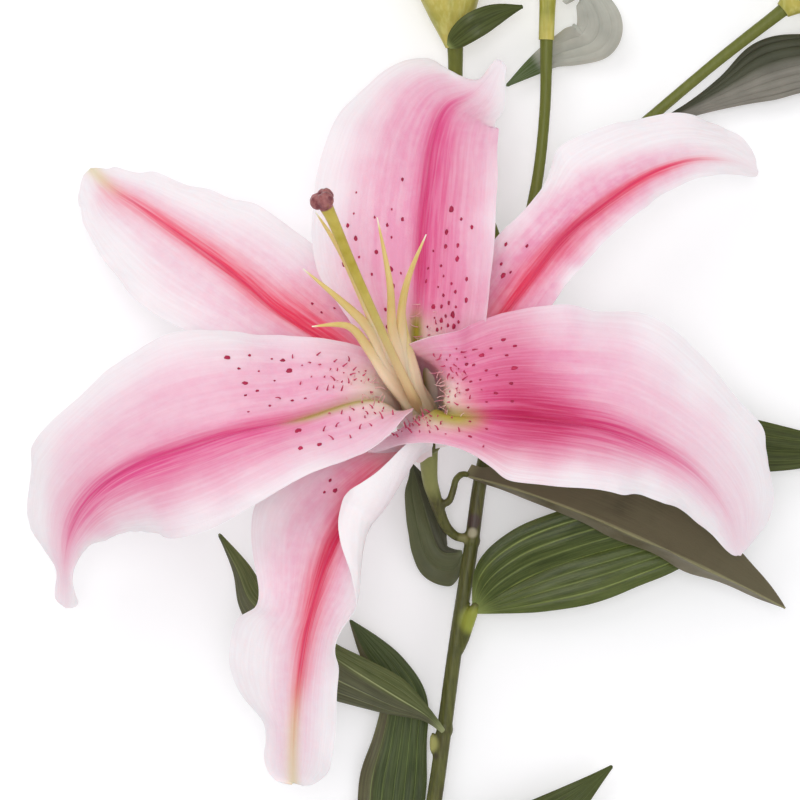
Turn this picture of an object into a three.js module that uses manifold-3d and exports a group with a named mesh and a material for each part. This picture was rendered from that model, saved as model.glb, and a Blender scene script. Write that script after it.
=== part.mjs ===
// A cut Oriental lily, lying on a surface: one open flower, three closed buds and the
// leaves, on a branching stem. Millimetres, +Z up, the flower faces up and the stem
// runs along -Y. Every piece is placed in the plant's own frame, whose origin is
// behind the middle of the flower, and the whole plant is then moved so that the
// middle of its box stands over the origin.
import * as THREE from 'three';
import Module from 'manifold-3d';
import { mergeVertices } from 'three/addons/utils/BufferGeometryUtils.js';

const wasm = await Module();
wasm.setup();

// ---------------------------------------------------------------- driving sizes
const MIDDLE = [32.4, -39.5, 0];         // of the plant's box, in the plant's frame
const PETAL_THICKNESS = 0.8;
const SEPAL_THICKNESS = 0.9;
const LEAF_THICKNESS = 0.7;
const STEM_SIDES = 10;

// The open flower stands on its receptacle and leans towards the stem's top.
const RECEPTACLE = new THREE.Vector3(6.9, -10, 22);
const AXIS = new THREE.Vector3(-0.094, 0.455, 0.883).normalize();
const EAST = new THREE.Vector3(1, 0, 0).addScaledVector(AXIS, 0.094).normalize();
const NORTH = new THREE.Vector3().crossVectors(AXIS, EAST);
const RECEPTACLE_RADIUS = 5.2;

const COLOURS = {
  petal: 0xe88cb8,
  sepal: 0xf0b8cc,
  leaf: 0x3d5a30,
  pale_leaf: 0xb9bfae,
  stem: 0x7c8a45,
  bud: 0xb9bf5c,
  style: 0xb4b84e,
  filament: 0xdcdfa4,
};

// ---------------------------------------------------------------- small helpers
const radians = THREE.MathUtils.degToRad;
const vector = (list) => new THREE.Vector3(...list);

function material(colour, roughness) {
  return new THREE.MeshStandardMaterial({ color: COLOURS[colour], roughness, metalness: 0 });
}

// Direction away from the flower's axis, at an angle counted from EAST.
function outward(azimuth) {
  const angle = radians(azimuth);
  return new THREE.Vector3()
    .addScaledVector(EAST, Math.cos(angle))
    .addScaledVector(NORTH, Math.sin(angle));
}

// A point in the flower's funnel: height along the axis, radius away from it.
function funnel(azimuth, height, radius) {
  return RECEPTACLE.clone()
    .addScaledVector(AXIS, height)
    .addScaledVector(outward(azimuth), radius)
    .toArray();
}

// Catmull-Rom through rows of numbers, the rows evenly spaced over t from 0 to 1.
function blend(rows, t) {
  const last = rows.length - 1;
  const place = Math.min(Math.max(t, 0), 1) * last;
  const i = Math.min(Math.floor(place), last - 1);
  const f = place - i;
  const [a, b, c, d] = [i - 1, i, i + 1, i + 2].map((k) => rows[Math.min(Math.max(k, 0), last)]);
  return b.map((_, n) => 0.5 * (2 * b[n] + (c[n] - a[n]) * f
    + (2 * a[n] - 5 * b[n] + 4 * c[n] - d[n]) * f ** 2
    + (3 * b[n] - a[n] - 3 * c[n] + d[n]) * f ** 3));
}

function direction(rows, t) {
  const step = 0.002;
  const ahead = vector(blend(rows, t + step).slice(0, 3));
  return ahead.sub(vector(blend(rows, t - step).slice(0, 3))).normalize();
}

function geometry(points, triangles) {
  const shape = new THREE.BufferGeometry();
  shape.setAttribute('position', new THREE.Float32BufferAttribute(points.flatMap((p) => p.toArray()), 3));
  shape.setIndex(triangles);
  return shape;
}

function solid(shape) {
  const bare = shape.clone();
  bare.deleteAttribute('normal');
  bare.deleteAttribute('uv');
  const merged = mergeVertices(bare, 1e-4);
  return new wasm.Manifold(new wasm.Mesh({
    numProp: 3,
    vertProperties: merged.attributes.position.array,
    triVerts: new Uint32Array(merged.index.array),
  }));
}

function shapeOf(body) {
  const mesh = body.getMesh();
  const shape = new THREE.BufferGeometry();
  shape.setAttribute('position', new THREE.Float32BufferAttribute(mesh.vertProperties, 3));
  shape.setIndex([...mesh.triVerts]);
  return shape;
}

function join(shapes) {
  const [first, ...others] = shapes.map(solid);
  return shapeOf(others.reduce((sum, next) => sum.add(next), first));
}

// ---------------------------------------------------------------- blades
// A blade is a thin closed body on both sides of its midrib. Each station says:
//   at     where the midrib passes
//   reach  [plus, minus]: how wide each side is, along its surface
//   lift   [plus, minus]: the angle at which each side leaves the midrib
//   curl   [plus, minus]: how much further it has turned at its margin
//   onset  1 where that turn is even, more where it comes near the margin
// Lift and curl are in degrees, and turn a side towards the blade's upper face.
const flat = (s) => [...s.at, ...s.reach, ...s.lift, ...s.curl, s.onset ?? 2];

// The frame of a blade at a share t of its length: its row of numbers, and the
// directions across it and out of its upper face. Its plus side leaves the midrib
// along side, and along tipSide by the tip, and its curl ripples by wave degrees.
function bladeFrame({ numbers, side, tipSide, wave = 0, waves = 5 }, t) {
  const row = blend(numbers, t);
  const ripple = wave * Math.sin(Math.PI * t) ** 0.5;
  row[3] = Math.max(row[3], 0.5);
  row[4] = Math.max(row[4], 0.5);
  row[7] += ripple * Math.sin(2 * Math.PI * waves * t);
  row[8] += ripple * Math.cos(2 * Math.PI * waves * t);
  const tangent = direction(numbers, t);
  const towards = side.clone().lerp(tipSide ?? side, t ** 2);
  const facing = new THREE.Vector3().crossVectors(tangent, towards).normalize();
  const across = new THREE.Vector3().crossVectors(facing, tangent);
  return { row, facing, across };
}

// The middle surface at share s, from -1 at the minus margin to 1 at the plus margin.
function bladePoint({ row, facing, across }, s) {
  const [reachPlus, reachMinus, liftPlus, liftMinus, curlPlus, curlMinus, onset] = row.slice(3);
  const sign = s < 0 ? -1 : 1;
  const share = Math.abs(s);
  const reach = s < 0 ? reachMinus : reachPlus;
  const lift = radians(s < 0 ? liftMinus : liftPlus);
  const curl = radians(s < 0 ? curlMinus : curlPlus);
  const place = vector(row.slice(0, 3));
  const steps = 12;
  for (let k = 0; k < steps; k += 1) {
    const turn = lift + curl * (share * (k + 0.5) / steps) ** onset;
    place.addScaledVector(across, sign * Math.cos(turn) * reach * share / steps);
    place.addScaledVector(facing, Math.sin(turn) * reach * share / steps);
  }
  const turn = s === 0 ? 0 : lift + curl * share ** onset;
  const normal = facing.clone().multiplyScalar(Math.cos(turn))
    .addScaledVector(across, -sign * Math.sin(turn));
  return { place, normal };
}

function blade(form, { thickness, rows, columns, furrow = 0 }) {
  const points = [];
  const triangles = [];
  const width = 2 * columns + 1;
  for (let i = 0; i <= rows; i += 1) {
    const frame = bladeFrame(form, i / rows);
    const section = Array.from({ length: width }, (_, k) => {
      const j = k - columns;
      return bladePoint(frame, Math.sign(j) * (Math.abs(j) / columns) ** 0.92);
    });
    section[columns].place.addScaledVector(frame.facing, -furrow);
    for (const half of [thickness / 2, -thickness / 2]) {
      points.push(...section.map(({ place, normal }) => place.clone().addScaledVector(normal, half)));
    }
  }
  const at = (i, face, j) => (i * 2 + face) * width + j;
  const quad = (a, b, c, d, flip) => {
    triangles.push(...(flip ? [a, c, b, a, d, c] : [a, b, c, a, c, d]));
  };
  for (let i = 0; i < rows; i += 1) {
    for (let j = 0; j < width - 1; j += 1) {
      quad(at(i, 0, j), at(i, 0, j + 1), at(i + 1, 0, j + 1), at(i + 1, 0, j), true);
      quad(at(i, 1, j), at(i, 1, j + 1), at(i + 1, 1, j + 1), at(i + 1, 1, j), false);
    }
    quad(at(i, 0, 0), at(i + 1, 0, 0), at(i + 1, 1, 0), at(i, 1, 0), true);
    const last = width - 1;
    quad(at(i, 0, last), at(i + 1, 0, last), at(i + 1, 1, last), at(i, 1, last), false);
  }
  for (let j = 0; j < width - 1; j += 1) {
    quad(at(0, 0, j), at(0, 0, j + 1), at(0, 1, j + 1), at(0, 1, j), false);
    quad(at(rows, 0, j), at(rows, 0, j + 1), at(rows, 1, j + 1), at(rows, 1, j), true);
  }
  return geometry(points, triangles);
}

// ---------------------------------------------------------------- tubes and lofts
// A closed body over rings of points, all with as many sides, and the two ends' middles.
function loft(rings, middles) {
  const sides = rings[0].length;
  const points = rings.flat();
  const triangles = [];
  const following = (k) => (k + 1) % sides;
  for (let i = 0; i < rings.length - 1; i += 1) {
    for (let k = 0; k < sides; k += 1) {
      const [low, high] = [i * sides, (i + 1) * sides];
      const [a, b, c, d] = [low + k, low + following(k), high + following(k), high + k];
      triangles.push(a, b, c, a, c, d);
    }
  }
  const last = (rings.length - 1) * sides;
  for (let k = 0; k < sides; k += 1) {
    triangles.push(points.length, following(k), k);
    triangles.push(points.length + 1, last + k, last + following(k));
  }
  return geometry([...points, ...middles], triangles);
}

// A closed tube along a smooth path: each row is [x, y, z, radius].
function tube(rows, sides, steps) {
  const across = new THREE.Vector3(0.3, 0.2, 1);
  const rings = Array.from({ length: steps + 1 }, (_, i) => {
    const row = blend(rows, i / steps);
    const along = direction(rows, i / steps);
    across.addScaledVector(along, -across.dot(along)).normalize();
    const beside = new THREE.Vector3().crossVectors(along, across);
    return Array.from({ length: sides }, (__, k) => {
      const angle = 2 * Math.PI * (k + 0.5) / sides;
      return vector(row.slice(0, 3))
        .addScaledVector(across, row[3] * Math.cos(angle))
        .addScaledVector(beside, row[3] * Math.sin(angle));
    });
  });
  return loft(rings, [0, 1].map((t) => vector(blend(rows, t).slice(0, 3))));
}

const group = new THREE.Group();
group.position.set(-MIDDLE[0], -MIDDLE[1], -MIDDLE[2]);

function add(name, shape, colour, roughness = 0.6) {
  const mesh = new THREE.Mesh(shape, material(colour, roughness));
  mesh.name = name;
  group.add(mesh);
}

// ---------------------------------------------------------------- the open flower
// The inner petals stand in the funnel inside the outer sepals.
function petalRoot(azimuth, sizes = {}) {
  const { neck = [7.6, 7.6], neckLift = [4, 4], neckCurl = [38, 38], turn = 0 } = sizes;
  const { throat = [12, 12], lift = [14, 14], curl = [8, 8] } = sizes;
  return [
    { at: funnel(azimuth, 1.2, 4.1), reach: [2.6, 2.6], lift: [0, 0], curl: [34, 34], onset: 1 },
    { at: funnel(azimuth, 13, 5.6), reach: [4.6, 4.6], lift: [0, 0], curl: [44, 44], onset: 1 },
    { at: funnel(azimuth + turn / 2, 25, 8.0), reach: neck, lift: neckLift, curl: neckCurl, onset: 1 },
    { at: funnel(azimuth + turn, 33, 13), reach: throat, lift, curl, onset: 1 },
  ];
}

// roll is the curl of the throat's plus side.
function sepalRoot(azimuth, { throat = [10.5, 10.5], height = 26, roll = 10 } = {}) {
  const below = 26 + roll * 0.3;
  return [
    { at: funnel(azimuth, 0.8, 5.4), reach: [3.2, 3.2], lift: [0, 0], curl: [32, 32], onset: 1 },
    { at: funnel(azimuth, 11, 7.8), reach: [5.0, 5.0], lift: [0, 0], curl: [36, 36], onset: 1 },
    { at: funnel(azimuth, height - 6, 11.5), reach: [7.4, 7.4], lift: [0, 0], curl: [below, 26], onset: 1 },
    { at: funnel(azimuth, height, 18), reach: throat, lift: [4, 4], curl: [roll, 10], onset: 1 },
  ];
}

const TEPALS = {
  petal_lower_left: {
    azimuth: 199,
    root: petalRoot,
    sizes: { neck: [7.4, 7.2], throat: [15, 12] },
    tipSide: [0.75, -0.62, 0.2],
    stations: [
      { at: [-21.4, -3.3, 56], reach: [16, 21], lift: [12, 12], curl: [-15, -10] },
      { at: [-35.6, -6.4, 59], reach: [19.2, 26.5], lift: [12, 12], curl: [-30, -30] },
      { at: [-50.7, -10.9, 57], reach: [22, 28], lift: [12, 12], curl: [-40, -35] },
      { at: [-65.0, -16.5, 51], reach: [17.6, 25.4], lift: [8, 10], curl: [-45, -35] },
      { at: [-74.8, -23.5, 44], reach: [12.5, 24.4], lift: [5, 8], curl: [-50, -35] },
      { at: [-81.2, -34.0, 34], reach: [6, 20.5], lift: [0, 0], curl: [-30, -40] },
      { at: [-83.4, -51.5, 22], reach: [2.2, 2], lift: [0, 0], curl: [50, 10] },
    ],
  },
  petal_lower_right: {
    azimuth: 340,
    root: petalRoot,
    sizes: {
      neck: [9, 10],
      neckLift: [4, 10],
      throat: [15, 13],
      turn: -20,
    },
    tipSide: [0.86, 0.46, -0.2],
    stations: [
      { at: [25.5, -3.6, 58.2], reach: [26.5, 16.5], lift: [12, 12], curl: [-10, -15] },
      { at: [38, -4.9, 60], reach: [29.5, 17.2], lift: [12, 12], curl: [-25, -30] },
      { at: [49.9, -6.9, 59], reach: [31, 15.4], lift: [10, 10], curl: [-35, -35] },
      { at: [60.8, -11.0, 55], reach: [26.5, 12.6], lift: [8, 8], curl: [-35, -35] },
      { at: [70.9, -17.3, 49], reach: [22, 10], lift: [8, 5], curl: [-35, -35] },
      { at: [79.7, -27.2, 39], reach: [18.2, 7], lift: [0, 0], curl: [-35, -20] },
      { at: [84.0, -38.4, 28], reach: [2, 2], lift: [0, 0], curl: [0, 0] },
    ],
  },
  petal_top: {
    azimuth: 90,
    root: petalRoot,
    sizes: { throat: [13, 13] },
    tipSide: [-0.6, 0.78, -0.1],
    stations: [
      { at: [4.6, 27.5, 46.5], reach: [24, 18], lift: [8, 8], curl: [-5, 5] },
      { at: [5.3, 40.9, 42], reach: [27, 18], lift: [10, 10], curl: [-15, 10] },
      { at: [6.6, 52.9, 37], reach: [27, 17.5], lift: [10, 12], curl: [-20, 5] },
      { at: [8.1, 63.3, 31], reach: [24.2, 16], lift: [10, 12], curl: [-25, 5] },
      { at: [11.4, 72.2, 24.5], reach: [18.2, 14.5], lift: [8, 12], curl: [-25, 10] },
      { at: [18.2, 76.6, 19], reach: [9, 10], lift: [5, 10], curl: [-25, 20] },
      { at: [25.2, 84.6, 14], reach: [1.6, 2.4], lift: [0, 0], curl: [0, 0] },
    ],
  },
  sepal_upper_left: {
    azimuth: 147,
    root: sepalRoot,
    tipSide: [-0.6, -0.75, 0.3],
    stations: [
      { at: [-28.6, 21.1, 40.5], reach: [16, 18], lift: [8, 8], curl: [0, -10] },
      { at: [-37.6, 28.9, 37.5], reach: [18.5, 18], lift: [5, 10], curl: [-20, -15] },
      { at: [-49.1, 37.2, 32], reach: [20.5, 16], lift: [5, 10], curl: [-25, -20] },
      { at: [-61.2, 45.7, 26], reach: [17, 11.5], lift: [5, 8], curl: [-25, -15] },
      { at: [-71.9, 52.9, 15], reach: [10.5, 6.5], lift: [5, 5], curl: [-15, -10] },
      { at: [-78, 58.6, 4.2], reach: [1.5, 1.5], lift: [0, 0], curl: [0, 0] },
    ],
  },
  sepal_upper_right: {
    azimuth: 38,
    root: sepalRoot,
    tipSide: [0.1, 0.97, -0.2],
    stations: [
      { at: [32.0, 30.1, 43.4], reach: [13.5, 8.6], lift: [8, -3], curl: [-5, -5] },
      { at: [39.5, 39.5, 43], reach: [11.4, 8.4], lift: [10, -4], curl: [-5, -15] },
      { at: [49.1, 47.4, 42], reach: [17.8, 7.2], lift: [10, 0], curl: [-20, -20] },
      { at: [59.4, 54.5, 38.5], reach: [15.2, 6.4], lift: [10, -5], curl: [-20, -20] },
      { at: [71.1, 58.8, 32], reach: [12.4, 4.8], lift: [5, -5], curl: [-20, -20] },
      { at: [81.6, 59.4, 24], reach: [9, 3.7], lift: [0, 0], curl: [-15, -20] },
      { at: [89.8, 57.2, 15], reach: [2, 2], lift: [0, 0], curl: [0, 0] },
    ],
  },
  sepal_bottom: {
    azimuth: 249,
    root: sepalRoot,
    sizes: { throat: [12, 12], height: 20, roll: 100 },
    stations: [
      { at: [-10.8, -25.6, 47.5], reach: [18.5, 18], lift: [10, 6], curl: [135, -5], onset: 1.6 },
      { at: [-16.5, -34.9, 49.5], reach: [21, 21.5], lift: [8, 8], curl: [115, -10], onset: 1.6 },
      { at: [-21.1, -49.2, 49.5], reach: [16, 13.5], lift: [5, 8], curl: [65, 10] },
      { at: [-23.9, -62.7, 46], reach: [9.6, 20], lift: [5, 8], curl: [0, -15] },
      { at: [-25.5, -76.4, 41], reach: [10.5, 11.5], lift: [5, 8], curl: [-20, -10] },
      { at: [-26.2, -88.0, 36], reach: [9, 7.5], lift: [5, 5], curl: [-10, -10] },
      { at: [-26.2, -94.0, 33], reach: [2, 2], lift: [0, 0], curl: [0, 0] },
    ],
  },
};

// Papillae: fleshy spikes scattered on both sides of an inner petal's furrow, near the
// throat. A hash of each one's number, from 0 to 1, places it.
const PAPILLA = { count: 20, length: 2.4, radius: 0.42, root: 0.5 };
const PAPILLA_ALONG = [0.33, 0.5];       // shares of the petal's length
const PAPILLA_AWAY = [0.15, 0.6];        // shares of its side's width
const hash = (n) => Math.abs(Math.sin(n * 12.9898) * 43758.5453) % 1;
const between = ([low, high], share) => low + (high - low) * share;

function papillae(form) {
  return Array.from({ length: PAPILLA.count }, (_, i) => {
    const away = between(PAPILLA_AWAY, hash(i + 101));
    const frame = bladeFrame(form, between(PAPILLA_ALONG, hash(i + 1)));
    const { place, normal } = bladePoint(frame, i % 2 ? away : -away);
    const spike = new THREE.ConeGeometry(PAPILLA.radius, PAPILLA.length, 3);
    const upright = new THREE.Vector3(0, 1, 0);
    spike.translate(0, PAPILLA.length / 2 - PAPILLA.root + PETAL_THICKNESS / 2, 0);
    spike.applyQuaternion(new THREE.Quaternion().setFromUnitVectors(upright, normal));
    return spike.translate(...place.toArray());
  });
}

const TEPAL_WAVE = 9;
const TEPAL_FURROW = 0.6;
for (const [name, { azimuth, root, sizes, stations, tipSide }] of Object.entries(TEPALS)) {
  const petal = root === petalRoot;
  const form = {
    numbers: [...root(azimuth, sizes), ...stations].map(flat),
    side: new THREE.Vector3().crossVectors(AXIS, outward(azimuth)),
    tipSide: tipSide && vector(tipSide),
    wave: TEPAL_WAVE,
  };
  const thickness = petal ? PETAL_THICKNESS : SEPAL_THICKNESS;
  const shape = blade(form, { thickness, rows: 22, columns: 5, furrow: TEPAL_FURROW });
  add(name, petal ? join([shape, ...papillae(form)]) : shape, petal ? 'petal' : 'sepal', 0.5);
}

// The pistil: a ribbed ovary, the long style and the three-lobed stigma.
const STIGMA = [-17.4, 45.4, 89];
const STIGMA_LOBE = 2.1;
const pistilPath = [
  [...funnel(0, 0.6, 0), 1.7],
  [...funnel(0, 12, 0), 1.8],
  [...funnel(80, 24, 0.6), 1.6],
  [1.9, 3.2, 54, 1.1],
  [-3.6, 14.8, 67, 1.05],
  [-10.6, 30.2, 79, 1.15],
  [-15.3, 41.2, 86.5, 1.35],
  [...STIGMA, 1.8],
];
const styleEnd = direction(pistilPath, 0.98);
const lobes = [0, 120, 240].map((angle) => {
  const lobe = new THREE.SphereGeometry(STIGMA_LOBE, 9, 6);
  const away = new THREE.Vector3(0, 0, 1).applyAxisAngle(styleEnd, radians(angle + 20));
  away.addScaledVector(styleEnd, -away.dot(styleEnd)).normalize();
  const centre = vector(STIGMA).addScaledVector(away, 1.35).addScaledVector(styleEnd, 0.6);
  return lobe.translate(...centre.toArray());
});
add('pistil', join([tube(pistilPath, 8, 26), ...lobes]), 'style', 0.45);

// Six bare filaments round the ovary, thick below and drawn out to a point.
const FILAMENT_RING = 2.85;
const FILAMENTS = [
  { azimuth: 150, way: [[-3.3, 12.6, 62], [-12.6, 33.0, 73]], tip: [-19.6, 43.6, 79] },
  { azimuth: 90, way: [[0.0, 17.5, 58.5], [-2.2, 28.6, 68]], tip: [-5.3, 42.4, 77] },
  { azimuth: 30, way: [[3.3, 11.6, 54.1], [2.5, 24.4, 63.1]], tip: [6.1, 38.6, 74] },
  { azimuth: 210, way: [[-6.5, 10.5, 60], [-14.2, 21.5, 68]], tip: [-22.8, 30.8, 74] },
  { azimuth: 270, way: [[-6.2, 5.6, 61.5], [-12.5, 16.0, 68.5]], tip: [-20.7, 17.0, 71] },
  { azimuth: 330, way: [[3.6, 8.6, 57], [3.0, 17.0, 62.5]], tip: [3.9, 27.0, 70] },
];
FILAMENTS.forEach(({ azimuth, way, tip }, i) => {
  add(`filament_${i + 1}`, tube([
    [...funnel(azimuth, 0.7, FILAMENT_RING), 0.55],
    [...funnel(azimuth, 12, 3.3), 0.7],
    [...funnel(azimuth, 23, 3.9), 0.95],
    [...way[0], 0.95],
    [...way[1], 0.75],
    [...tip, 0.2],
  ], 6, 15), 'filament', 0.5);
});

// ---------------------------------------------------------------- the stem
const MAIN_STEM = [
  [-5.2, -255, 3.55, 3.6], [-4.2, -215, 3.9, 3.2], [-1.6, -174, 4.6, 2.75], [3, -136, 5.6, 2.35],
  [9.1, -98.3, 6.6, 2.0], [14.0, -62, 7.5, 1.85], [17.9, -37.2, 8.2, 1.85], [20.2, -20.1, 8.3, 1.8],
  [24, -3, 8.3, 1.75], [28.2, 20, 8.3, 1.7], [32, 42, 8.2, 1.6], [35, 58, 8.3, 1.45],
  [36.6, 75, 8.5, 1.42], [36.8, 90.1, 8.8, 1.6],
];
const FLOWER_STALK = [
  [18.2, -35.8, 8.3, 1.25], [15.6, -34.9, 8.7, 1.2], [12.6, -31.6, 9.9, 1.45], [9.6, -26.6, 12.2, 1.8],
  [7.6, -21, 14.8, 2.05], [6.4, -15.4, 17.6, 2.3], [...funnel(0, -1.6, 0), 2.6],
];
const BRACT_STALK = [
  [10, -26, 12.4, 1.0], [12.2, -25.4, 12.9, 0.95], [13.3, -22.6, 13.1, 0.9], [14, -20, 13.2, 0.88],
  [15.4, -19.4, 13.2, 0.85],
];
const FIRST_BUD_STALK = [
  [28.2, 20, 8.3, 1.7], [27.4, 30, 6.6, 1.75], [22, 46, 5.2, 1.75], [16.4, 64, 5.0, 1.75],
  [14.2, 77, 6.6, 1.8], [13.9, 87.6, 9.6, 2.0],
];
const THIRD_BUD_STALK = [
  [32, 43, 8.2, 1.5], [45.6, 56.2, 8.2, 1.45], [64.2, 72.1, 8.6, 1.4], [80.5, 85.8, 9.4, 1.45],
  [95.5, 97.4, 10.1, 1.7],
];
const LEAF_STALK = [
  [14.6, -66, 7.4, 1.2], [16.5, -61.6, 8.2, 1.25], [17.6, -57.6, 8.8, 1.2], [18.2, -54.6, 9.2, 1.05],
];
const receptacle = [
  [...funnel(0, -7, 0), 1.8], [...funnel(0, -3.4, 0), 2.7], [...funnel(0, -1.2, 0), 4.6],
  [...funnel(0, -0.1, 0), RECEPTACLE_RADIUS],
];
// Knots and a resting bud: the middle and the radii.
const KNOTS = [
  [[17.9, -37.6, 8.2], [2.1, 2.4, 2.1]], [[32, 42.5, 8.2], [1.9, 2.1, 1.9]],
  [[11.3, -83, 6.9], [2.2, 2.5, 2.2]], [[4.6, -126, 5.9], [2.7, 3, 2.7]],
  [[8.0, -86.8, 6.9], [1.2, 3.4, 1.2]],
];
const knots = KNOTS.map(([centre, radii]) => {
  return new THREE.SphereGeometry(1, 10, 6).scale(...radii).translate(...centre);
});
const GROUND = new THREE.BoxGeometry(600, 800, 20).translate(0, 0, -10);

// Presses a body flat where it bears on the surface at height 0.
function rested(shape) {
  return shapeOf(solid(shape).subtract(solid(GROUND)));
}

add('stem', rested(join([
  tube(MAIN_STEM, STEM_SIDES, 44),
  tube(FLOWER_STALK, STEM_SIDES, 14),
  tube(receptacle, 12, 4),
  tube(BRACT_STALK, 7, 6),
  tube(FIRST_BUD_STALK, STEM_SIDES, 14),
  tube(THIRD_BUD_STALK, STEM_SIDES, 10),
  tube(LEAF_STALK, 7, 4),
  ...knots,
])), 'stem', 0.55);

// ---------------------------------------------------------------- the buds
// Three long scales pressed together: a rounded three-cornered section, whose radius
// follows a share of the bud's girth at each step of its length.
const BUD_PROFILE = [
  0.2, 0.42, 0.62, 0.77, 0.88, 0.95, 0.99, 1, 0.98, 0.93, 0.85, 0.74, 0.62, 0.5, 0.36, 0.12,
];
const SLENDER_PROFILE = [
  0.24, 0.26, 0.34, 0.5, 0.66, 0.8, 0.9, 0.97, 1, 0.98, 0.92, 0.83, 0.72, 0.58, 0.4, 0.14,
];
const BUD_SIDES = 15;
const BUD_CORNERS = 0.05;                // how far its three corners stand out

function bud({ from, to, radius, profile = BUD_PROFILE }) {
  const ends = [vector(from), vector(to)];
  const along = ends[1].clone().sub(ends[0]).normalize();
  const across = new THREE.Vector3(0, 0, 1).addScaledVector(along, -along.z).normalize();
  const beside = new THREE.Vector3().crossVectors(along, across);
  const rings = profile.map((share, i) => {
    const centre = ends[0].clone().lerp(ends[1], i / (profile.length - 1));
    return Array.from({ length: BUD_SIDES }, (_, k) => {
      const angle = 2 * Math.PI * k / BUD_SIDES;
      const r = radius * share * (1 - BUD_CORNERS * Math.cos(3 * angle));
      return centre.clone()
        .addScaledVector(across, r * Math.cos(angle))
        .addScaledVector(beside, r * Math.sin(angle));
    });
  });
  return loft(rings, ends);
}

const BUDS = {
  bud_1: { from: [13.8, 88.6, 10.2], to: [5.5, 176, 13.5], radius: 11.6 },
  bud_2: { from: [36.8, 90.6, 8.8], to: [39.5, 172, 9.5], radius: 8.4, profile: SLENDER_PROFILE },
  bud_3: { from: [96.2, 97.9, 10.2], to: [157, 148, 11.7], radius: 10.7 },
};
for (const [name, sizes] of Object.entries(BUDS)) {
  add(name, rested(bud(sizes)), 'bud', 0.45);
}

// ---------------------------------------------------------------- the leaves
// A leaf follows its path from the stem to its point. It has either its widest reach,
// before the middle, or its widths at even steps.
const LEAF_STATIONS = 9;

function leafWidth(t, widest, taper, base) {
  const broadest = 0.4;
  const rise = (t / broadest) ** taper;
  const fall = ((1 - t) / (1 - broadest)) ** (taper * (1 - broadest) / broadest);
  return Math.max(widest * rise * fall, 0.35) + base * (1 - t) ** 5;
}

function leafStations(sizes) {
  const { path, widths, reach, fold = [10, 10], roll = [-15, -15], taper = 0.75, base = 0.4 } = sizes;
  return Array.from({ length: LEAF_STATIONS }, (_, i) => {
    const t = i / (LEAF_STATIONS - 1);
    const wide = widths ? blend(widths, t) : reach.map((widest) => leafWidth(t, widest, taper, base));
    return { at: blend(path, t), reach: wide, lift: fold, curl: roll };
  });
}

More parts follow.
